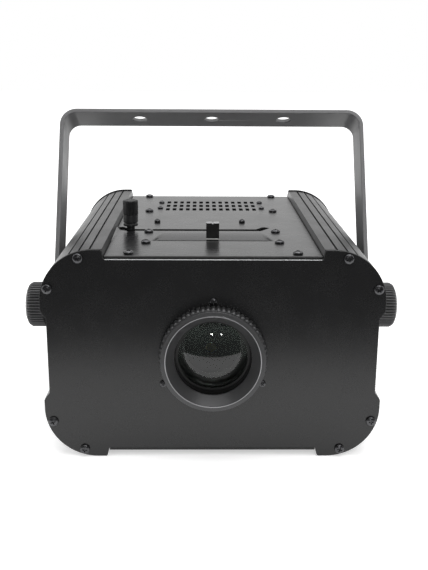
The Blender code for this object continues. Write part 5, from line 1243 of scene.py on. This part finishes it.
@dataclass
class ZoomKnob(Assembly):
    """The knurled thumb knob that slides along the zoom slot."""

    spot: Point = (-0.065, 0.0918)
    radius: float = 0.0060
    height: float = 0.0240
    lift: float = 0.0034
    boss: float = 0.0032
    disc: float = 0.0055
    groove: float = 0.0008
    grip: float = 0.0126

    def make(self, shell: Shell) -> None:
        """Make the knob: knurled grip, smooth collar, groove, and the disc and boss that it slides on."""
        core = self.radius - 0.0002
        neck = core - 0.0008
        bore = 0.0025
        lines = [
            (0.0, self.height - 0.0006),
            (core * 0.45, self.height - 0.0006),
            (core * 0.62, self.height),
            (core * 0.88, self.height),
            (self.radius, self.height - 0.0008),
            (self.radius, self.grip),
            (core, self.grip - 0.0002),
            (core, self.disc + self.groove),
            (neck, self.disc + self.groove - 0.0001),
            (neck, self.disc),
            (core, self.disc - 0.0003),
            (core, self.lift),
            (self.boss, self.lift),
            (self.boss, 0.0),
            (bore, 0.0),
            (bore, self.height / 2),
            (0.0, self.height / 2),
        ]
        profile = filleted(lines, 0.00035, 3, closed=False)
        ribs = Ribs(count=32, depth=0.0007, land=0.4)
        spot = facing_up(self.spot[0], self.spot[1], shell.top + shell.gap)
        ribbed = (self.grip, self.height - 0.0003)
        mesh = turned_mesh("knurled_zoom_knob", profile, 0, ribs, ribbed, spot)
        self.add(mesh, Material.NYLON, "black_plastic", ["zoom_knob"])
        self.report()


@dataclass
class Yoke(Assembly):
    """The bent flat bar that the projector hangs from."""

    lean: float = math.radians(26.6)
    length: float = 0.163
    band: float = 0.0302
    thickness: float = 0.0035
    inner: float = 0.123
    bend: float = 0.010
    hole_pitch: float = 0.0612
    hole_radius: float = 0.0057
    countersink: float = 0.0007
    bolt: float = 0.0051
    rim: float = 0.0007
    drop_margin: float = 0.004
    end_inside: float = 0.004
    end_outside: float = 0.008

    def matrix(self) -> Matrix:
        """Return the yoke's own frame: its pivot line along x, its arms up along z."""
        return Matrix.Translation(place(0.0, *PIVOT)) @ Matrix.Rotation(-self.lean, 4, "X")

    def make(self) -> None:
        """Make the bar with rounded edges, its mounting holes and its round ends."""
        half = self.band / 2
        x0, z0 = self.inner - self.bend, self.length - self.thickness - self.bend

        def arm(radius: float) -> Outline:
            corner = [(x0 + radius * math.cos(turn), z0 + radius * math.sin(turn)) for turn in quarter(12)]
            return [(x0 + radius, -half)] + corner

        right, inside = arm(self.bend + self.thickness), arm(self.bend)
        path = right + [(-x, z) for x, z in reversed(right)]
        path += [(-x, z) for x, z in inside] + list(reversed(inside))
        mesh = prism_mesh("bent_yoke_bar", [path], -half, half, self.rim, self.matrix() @ UPRIGHT)
        bar = self.add(mesh, Material.YOKE_COAT, "coated_sheet", ["yoke_bracket"])
        tools = []
        for index in (-1, 0, 1):
            spot = self.matrix() @ Matrix.Translation((index * self.hole_pitch, 0.0, self.length))
            tools.append(self.drill("hole", self.hole_radius, self.countersink, spot))
        for side in (-1, 1):
            spot = self.matrix() @ Matrix.Translation((side * self.inner, 0.0, 0.0))
            tools.append(self.drill("bolt", self.bolt, 0.0, spot @ Matrix.Rotation(math.pi / 2, 4, "Y")))
            turns = [math.pi * index / 32 for index in range(33)]
            arc = [(half * math.cos(turn), -half * math.sin(turn)) for turn in turns]
            margin = half + self.drop_margin
            outline = [(margin, 0.0)] + arc + [(-margin, 0.0), (-margin, -margin), (margin, -margin)]
            turn = Matrix(((0, 0, 1, 0), (1, 0, 0, 0), (0, 1, 0, 0), (0, 0, 0, 1)))
            reach = (self.inner - self.end_inside, self.inner + self.end_outside)
            low, high = sorted(side * x for x in reach)
            tools.append(prism_mesh("end", [outline], low, high, 0.0, self.matrix() @ turn))
        cut(bar, tools)
        soften(bar, 0.0004, math.radians(55.0))
        self.report()

    def drill(self, name: str, radius: float, chamfer: float, spot: Matrix) -> bpy.types.Mesh:
        """Return a round cutter across the bar, whose outer face is at height 0, with its rims broken."""
        reach = 4 * self.thickness
        wide = radius + chamfer
        profile = [(0.0, -reach), (wide, -reach), (wide, -self.thickness)]
        if chamfer:
            profile += [(radius, chamfer - self.thickness), (radius, -chamfer), (wide, 0.0)]
        profile += [(wide, reach), (0.0, reach)]
        return turned_mesh(name, profile, 40, turn=spot)


@dataclass
class Clamps(Assembly):
    """The two ribbed clamp knobs and their washers."""

    radius: float = 0.0182
    thickness: float = 0.0165
    bevel: float = 0.0046
    seat: float = 0.1327
    bolt: float = 0.0046
    bolt_end: float = 0.1085
    washer: tuple[float, float, float] = (0.0049, 0.0155, 0.0056)
    washer_seat: float = 0.1268

    def make(self) -> None:
        """Make both sides' knobs, bolts and washers."""
        for name, side in (("left", -1), ("right", 1)):
            turn = facing_side(side, self.seat, *PIVOT)
            end = self.bolt_end - self.seat
            height = self.thickness
            lines = [
                (0.0, end),
                (self.bolt - 0.0008, end),
                (self.bolt, end + 0.0008),
                (self.bolt, 0.0),
                (self.radius - 0.0020, 0.0),
                (self.radius, 0.0016),
                (self.radius, height - self.bevel),
                (self.radius - self.bevel * 0.35, height - self.bevel * 0.42),
                (self.radius - self.bevel * 1.1, height - 0.0004),
                (self.radius * 0.62, height),
                (self.radius * 0.58, height - 0.0008),
                (0.0, height - 0.0008),
            ]
            profile = filleted(lines, 0.0016, 3, closed=False)
            grooves = Ribs(count=48, depth=0.0014, land=0.36)
            top = height - self.bevel * 0.25
            mesh = turned_mesh("ribbed_clamp_knob_" + name, profile, 0, grooves, (0.0003, top), turn)
            self.add(mesh, Material.KNOB_NYLON, "black_plastic", ["clamp_knob_" + name], "clamp_" + name)
            bore, rim, thick = self.washer
            washer = [(bore, 0.0), (rim, 0.0), (rim, thick), (bore, thick)]
            turn = facing_side(side, self.washer_seat, *PIVOT)
            mesh = turned_mesh("thrust_washer_" + name, filleted(washer, 0.0006, 3), 64, turn=turn)
            self.add(mesh, Material.BLACK_ZINC, "black_steel", ["clamp_washer_" + name], "yoke")
        self.report()


@dataclass
class RearPanel(Assembly):
    """The rear plate with the fan, its guard and the mains fittings."""

    fan_body: str = "fan"
    fan_z: float = 0.018
    bore: float = 0.0375
    hub: float = 0.0165
    blades: int = 7
    eye_spot: float = 0.03575
    inlet: Point = (0.0281, 0.0206)
    switch: Point = (0.0196, 0.0136)
    fuse: float = 0.0063

    def make(self, shell: Shell) -> None:
        """Make the rear plate and the fan."""
        inlet, switch, fuse, fittings = -0.045, 0.012, 0.048, -0.049
        holes = shell.port_holes() + [circle(self.bore, (0.0, self.fan_z), 96)]
        holes.append(filleted(rectangle(*self.inlet, (inlet, fittings)), 0.0010, 3))
        holes.append(filleted(rectangle(*self.switch, (switch, fittings)), 0.0006, 3))
        holes.append(circle(self.fuse, (fuse, fittings), 40))
        outlines = [shell.plate_outline(0.001, flush_below=True)] + holes
        start = shell.depth - shell.plate
        mesh = prism_mesh("rear_panel", outlines, start, shell.depth, shell.plate_rim, facing_front())
        shell.mark_edges(mesh)
        others = [Material.CUT_EDGE_AND_PAINTED_SHADE, Material.CUT_EDGE_AND_PAINTED_SHADE]
        self.add(mesh, Material.PLATE_COAT, "coated_sheet", ["rear_plate"], others=others)
        self.make_impeller(shell)
        self.make_guard(shell)
        self.report()

    def make_impeller(self, shell: Shell) -> None:
        """Make the fan's hub and its swept blades."""
        wall, thickness, play = 0.003, 0.025, 0.0005
        axle, stub = 0.0015, 0.0025
        rear = shell.ends[1] - wall - play
        front = shell.ends[1] - thickness + play
        depth = rear - front
        turn = facing_rear(front, self.fan_z)
        lines = [(0.0, 0.0), (self.hub, 0.0), (self.hub, depth)]
        lines += [(axle, depth), (axle, depth + stub), (0.0, depth + stub)]
        mesh = turned_mesh("fan_hub_and_blades", filleted(lines, 0.0012, 4, closed=False), 64)
        work = bmesh.new()
        work.from_mesh(mesh)
        for index in range(self.blades):
            self.add_blade(work, 2 * math.pi * index / self.blades, depth)
        mesh = finish_mesh(work, "fan_rotor", turn)
        self.add(mesh, Material.NYLON, "black_plastic", ["fan_impeller"], self.fan_body)

    def add_blade(self, work: bmesh.types.BMesh, start: float, depth: float) -> None:
        """Add one blade of about 1.4 mm with a thin trailing edge."""
        spans, chords = 8, 8
        root, tip = self.hub - 0.0012, self.bore - 0.0011
        faces: list[list[list[bmesh.types.BMVert]]] = []
        for side in (-1, 1):
            rows = []
            for span in range(spans + 1):
                share = span / spans
                radius = root + (tip - root) * share
                row = []
                for step in range(chords + 1):
                    chord = step / chords
                    thick = 0.0007 * math.sqrt(max(0.04, math.sin(math.pi * min(0.97, chord + 0.03))))
                    turn = start + math.radians(14.0) * share + math.radians(34.0) * chord
                    height = 0.003 + (depth - 0.006) * (1.0 - chord) + side * thick
                    row.append(work.verts.new((radius * math.cos(turn), radius * math.sin(turn), height)))
                rows.append(row)
            faces.append(rows)
        low, high = faces
        for rows in faces:
            for inner, outer in zip(rows, rows[1:]):
                for step in range(chords):
                    work.faces.new([inner[step], inner[step + 1], outer[step + 1], outer[step]])
        border = [(0, c) for c in range(chords)] + [(s, chords) for s in range(spans)]
        border += [(spans, c) for c in range(chords, 0, -1)] + [(s, 0) for s in range(spans, 0, -1)]
        for (s0, c0), (s1, c1) in zip(border, border[1:] + border[:1]):
            work.faces.new([low[s0][c0], low[s1][c1], high[s1][c1], high[s0][c0]])

    def make_guard(self, shell: Shell) -> None:
        """Make the finger guard: round wire rings welded to four arms that end in screw eyes."""
        face = shell.depth + shell.gap
        wire, eye = 0.0009, 0.0036
        first, last, root = 0.008, 0.0385, 0.006
        reach = math.hypot(self.eye_spot, self.eye_spot)

        def line(points: Sequence[Point], lift: float) -> list[Vector]:
            return [place(x, face + lift, self.fan_z + z) for x, z in points]

        meshes = []
        for index in range(5):
            radius = first + (last - first) * index / 4
            meshes.append(rod_mesh("ring", line(circle(radius, count=72), wire), wire, closed=True))
        for index in range(4):
            turn = math.pi / 4 + math.pi / 2 * index
            radii = [root + (reach - 0.0035 - root) * share for share in (0.0, 0.08, 0.9, 0.96, 1.0)]
            arm = [(radius * math.cos(turn), radius * math.sin(turn)) for radius in radii]
            meshes.append(rod_mesh("arm", line(arm, wire * 0.8), wire * 1.05))
            centre = (reach * math.cos(turn), reach * math.sin(turn))
            meshes.append(rod_mesh("eye", line(circle(eye, centre, 24), wire * 0.8), wire, closed=True))
        work = bmesh.new()
        for mesh in meshes:
            work.from_mesh(mesh)
            bpy.data.meshes.remove(mesh)
        guard = finish_mesh(work, "wire_fan_guard")
        self.add(guard, Material.WIRE, "ground_steel", ["fan_guard"])


SOLID_FINISHES = {
    Material.OPTIC_BLACK: [
        "lens_flange",
        "lens_barrel",
        "rear_retainer",
        "zoom_carriage",
        "condenser_retainer",
        "heatsink",
        "collimator_holder",
    ],
    Material.COATED_GLASS: ["rear_lens", "condenser_lens", "collimator_lens"],
    Material.GROUND_STEEL: ["guide_rod_left", "guide_rod_right", "pivot_block_left", "pivot_block_right"],
    Material.BLACKENED_STEEL: ["gobo_gate", "gobo_disc", "gobo_clip", "zoom_cam_plate"],
    Material.PHOSPHOR: ["led_module"],
    Material.MILL_ALUMINIUM: ["base_tray", "power_supply"],
    Material.NYLON: ["fan_frame"],
    Material.ABS: ["mains_inlet", "fuse_holder", "fuse_cap", "switch_frame", "switch_rocker"],
    Material.FIBRE: ["friction_washer_left", "friction_washer_right"],
}


@dataclass
class Solids(Assembly):
    """The solids that keep their shape and only take a finish."""

    def dress(self) -> None:
        """Give each solid its finish."""
        for kind, names in SOLID_FINISHES.items():
            for name in names:
                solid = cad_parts[name]
                solid.data.materials.clear()
                solid.data.materials.append(material(kind))
                self.made.append(name)
        self.report()


# Studio

WHITE = (1.0, 1.0, 1.0, 1.0)


def arithmetic(tree: bpy.types.NodeTree, operation: str, first: Any, second: Any) -> Any:
    """Return a sum, product or comparison of two sockets or values, as a socket."""
    operands = {0: first, 1: second}
    settings = {key: value for key, value in operands.items() if isinstance(value, float)}
    links = {key: value for key, value in operands.items() if key not in settings}
    return add_node(tree, "ShaderNodeMath", {"operation": operation, **settings}, links).outputs[0]


def straight_view(tree: bpy.types.NodeTree, path: bpy.types.Node) -> Any:
    """Return a mask of what gloss mirrors and glass shows, without rays that a matt surface scattered."""
    view = arithmetic(tree, "MAXIMUM", path.outputs["Is Glossy Ray"], path.outputs["Is Transmission Ray"])
    scattered = arithmetic(tree, "MINIMUM", path.outputs["Diffuse Depth"], 1.0)
    return arithmetic(tree, "MAXIMUM", arithmetic(tree, "SUBTRACT", view, scattered), 0.0)


def rise(tree: bpy.types.NodeTree, value: Any, span: Point, levels: Point, kind: str = "SMOOTHSTEP") -> Any:
    """Return a socket that rises between two levels as a value runs over a span."""
    limits = {"From Min": span[0], "From Max": span[1], "To Min": levels[0], "To Max": levels[1]}
    settings = {"interpolation_type": kind, **limits}
    return add_node(tree, "ShaderNodeMapRange", settings, {"Value": value}).outputs["Result"]


def depth_of(tree: bpy.types.NodeTree, spot: Any) -> Any:
    """Return how far back a spot lies, as a socket."""
    return add_node(tree, "ShaderNodeSeparateXYZ", None, {"Vector": spot}).outputs["Y"]


@dataclass
class Studio:
    """Camera, pale floor, soft lamps and the white surround."""

    lens: float = 51.81
    sensor: float = 36.0
    camera_spot: tuple[float, float, float] = (-0.00791, -0.55359, 0.20861)
    pitch: float = math.radians(15.649)
    yaw: float = math.radians(0.862)
    roll: float = math.radians(0.357)

    def make_camera(self) -> None:
        """Put the camera where the photograph was taken from."""
        level = math.cos(self.pitch)
        forward = Vector((math.sin(self.yaw) * level, math.cos(self.yaw) * level, -math.sin(self.pitch)))
        right = Vector((math.cos(self.yaw), -math.sin(self.yaw), 0.0))
        up = right.cross(forward)
        level_right = right * math.cos(self.roll) + up * math.sin(self.roll)
        level_up = up * math.cos(self.roll) - right * math.sin(self.roll)
        turn = Matrix((level_right, level_up, -forward)).transposed().to_4x4()
        data = bpy.data.cameras.new("camera")
        data.lens = self.lens
        data.sensor_width = self.sensor
        data.clip_start = 0.01
        data.clip_end = 50.0
        camera = linked("camera", data)
        camera.matrix_world = Matrix.Translation(place(*self.camera_spot)) @ turn
        bpy.context.scene.camera = camera

    def make_floor(self) -> None:
        """Lay a pale floor that looks white to the camera and keeps the projector's shadow."""
        work = bmesh.new()
        bmesh.ops.create_grid(work, x_segments=1, y_segments=1, size=6.0)
        mesh = bpy.data.meshes.new("floor")
        work.to_mesh(mesh)
        work.free()
        floor = linked("floor", mesh)
        floor.location.z = CAD_BOX[0].z - 0.0002
        kind = bpy.data.materials.new("pale_floor")
        kind.use_nodes = True
        tree = kind.node_tree
        tree.nodes.clear()
        path = add_node(tree, "ShaderNodeLightPath")
        through = straight_view(tree, path)
        spot = add_node(tree, "ShaderNodeTexCoord").outputs["Object"]
        lit = rise(tree, depth_of(tree, spot), (-0.36, -0.33), (0.10, 1.0))
        away = add_node(tree, "ShaderNodeVectorMath", {"operation": "LENGTH"}, {0: spot}).outputs["Value"]
        kinds = {"Factor": through, "A": path.outputs["Is Camera Ray"], "B": lit}
        level = add_node(tree, "ShaderNodeMix", None, kinds).outputs[0]
        strength = arithmetic(tree, "MULTIPLY", level, rise(tree, away, (0.4, 1.4), (0.50, 0.85), "LINEAR"))
        glow = add_node(tree, "ShaderNodeEmission", {"Color": WHITE}, {"Strength": strength})
        darkened = add_node(tree, "ShaderNodeMix", {"A": 1.0}, {"Factor": through, "B": lit}).outputs[0]
        pale = {"Color": linear("#e9e9e9")}
        colour = add_node(tree, "ShaderNodeHueSaturation", pale, {"Value": darkened}).outputs["Color"]
        paint = add_node(tree, "ShaderNodeBsdfDiffuse", None, {"Color": colour})
        both = add_node(tree, "ShaderNodeAddShader", None, {0: paint.outputs[0], 1: glow.outputs[0]})
        add_node(tree, "ShaderNodeOutputMaterial", None, {"Surface": both.outputs[0]})
        mesh.materials.append(kind)

    def make_world(self) -> None:
        """Surround the scene with white for the camera, a ramp for reflections and a soft fill otherwise."""
        world = bpy.data.worlds.new("surround")
        bpy.context.scene.world = world
        world.use_nodes = True
        tree = world.node_tree
        tree.nodes.clear()
        path = add_node(tree, "ShaderNodeLightPath")
        spot = add_node(tree, "ShaderNodeTexCoord").outputs["Generated"]
        behind = rise(tree, depth_of(tree, spot), (-0.5, 0.35), (0.15, 1.0))
        fill = add_node(tree, "ShaderNodeBackground", {"Color": WHITE, "Strength": 0.6})
        mirrored = add_node(tree, "ShaderNodeBackground", {"Color": WHITE}, {"Strength": behind})
        white = add_node(tree, "ShaderNodeBackground", {"Color": WHITE, "Strength": 1.0})
        seen = fill
        for mask, other in ((straight_view(tree, path), mirrored), (path.outputs["Is Camera Ray"], white)):
            links = {0: mask, 1: seen.outputs[0], 2: other.outputs[0]}
            seen = add_node(tree, "ShaderNodeMixShader", None, links)
        add_node(tree, "ShaderNodeOutputWorld", None, {"Surface": seen.outputs[0]})

    def add_lamp(
        self, name: str, spot: Sequence[float], aim: Sequence[float], size: Point, level: float
    ) -> None:
        """Add one softbox, by the brightness of its face."""
        data = bpy.data.lights.new(name, "AREA")
        data.shape = "RECTANGLE"
        data.size, data.size_y = size
        data.energy = level * math.pi * size[0] * size[1]
        lamp = linked(name, data)
        lamp.location = spot
        lamp.rotation_euler = (Vector(aim) - Vector(spot)).to_track_quat("-Z", "Y").to_euler()

    def make(self) -> None:
        """Set up the studio."""
        bpy.context.scene.view_settings.view_transform = "Standard"
        self.make_camera()
        self.make_floor()
        self.make_world()
        self.add_lamp("overhead_softbox", (0.0, 0.1, 1.5), (0.0, 0.0, 0.1), (1.5, 1.2), 2.6)
        self.add_lamp("left_softbox", (-1.3, 0.2, 0.7), (0.0, 0.0, 0.1), (0.7, 0.9), 1.5)
        self.add_lamp("right_softbox", (1.3, 0.2, 0.7), (0.0, 0.0, 0.1), (0.7, 0.9), 1.1)
        self.add_lamp("front_softbox", (0.40, -0.85, 1.15), (0.0, 0.0, 0.15), (0.75, 0.5), 3.3)
        self.add_lamp("left_spot", (-0.036, -1.6, 0.45), (0.0, -0.1, 0.08), (0.07, 0.07), 40.0)
        self.add_lamp("right_spot", (0.348, -1.6, 0.45), (0.0, -0.1, 0.08), (0.07, 0.07), 40.0)
        LOG.info("Studio: camera, floor, surround and lamps")


def main() -> None:
    """Build the studio and the projector's pieces in order."""
    Studio().make()
    shell = Shell("housing")
    shell.make_rails()
    shell.make_front_plate()
    shell.make_covers()
    shell.report()
    objective = Objective("housing")
    objective.make()
    Fasteners("housing").make(shell, objective.screws())
    GoboDrop("gobo").make(shell)
    ZoomKnob("zoom_thumb").make(shell)
    Yoke("yoke").make()
    Clamps("housing").make()
    RearPanel("housing").make(shell)
    Solids("housing").dress()
    settle_normals(PIECES)


if __name__ == "__main__":
    main()
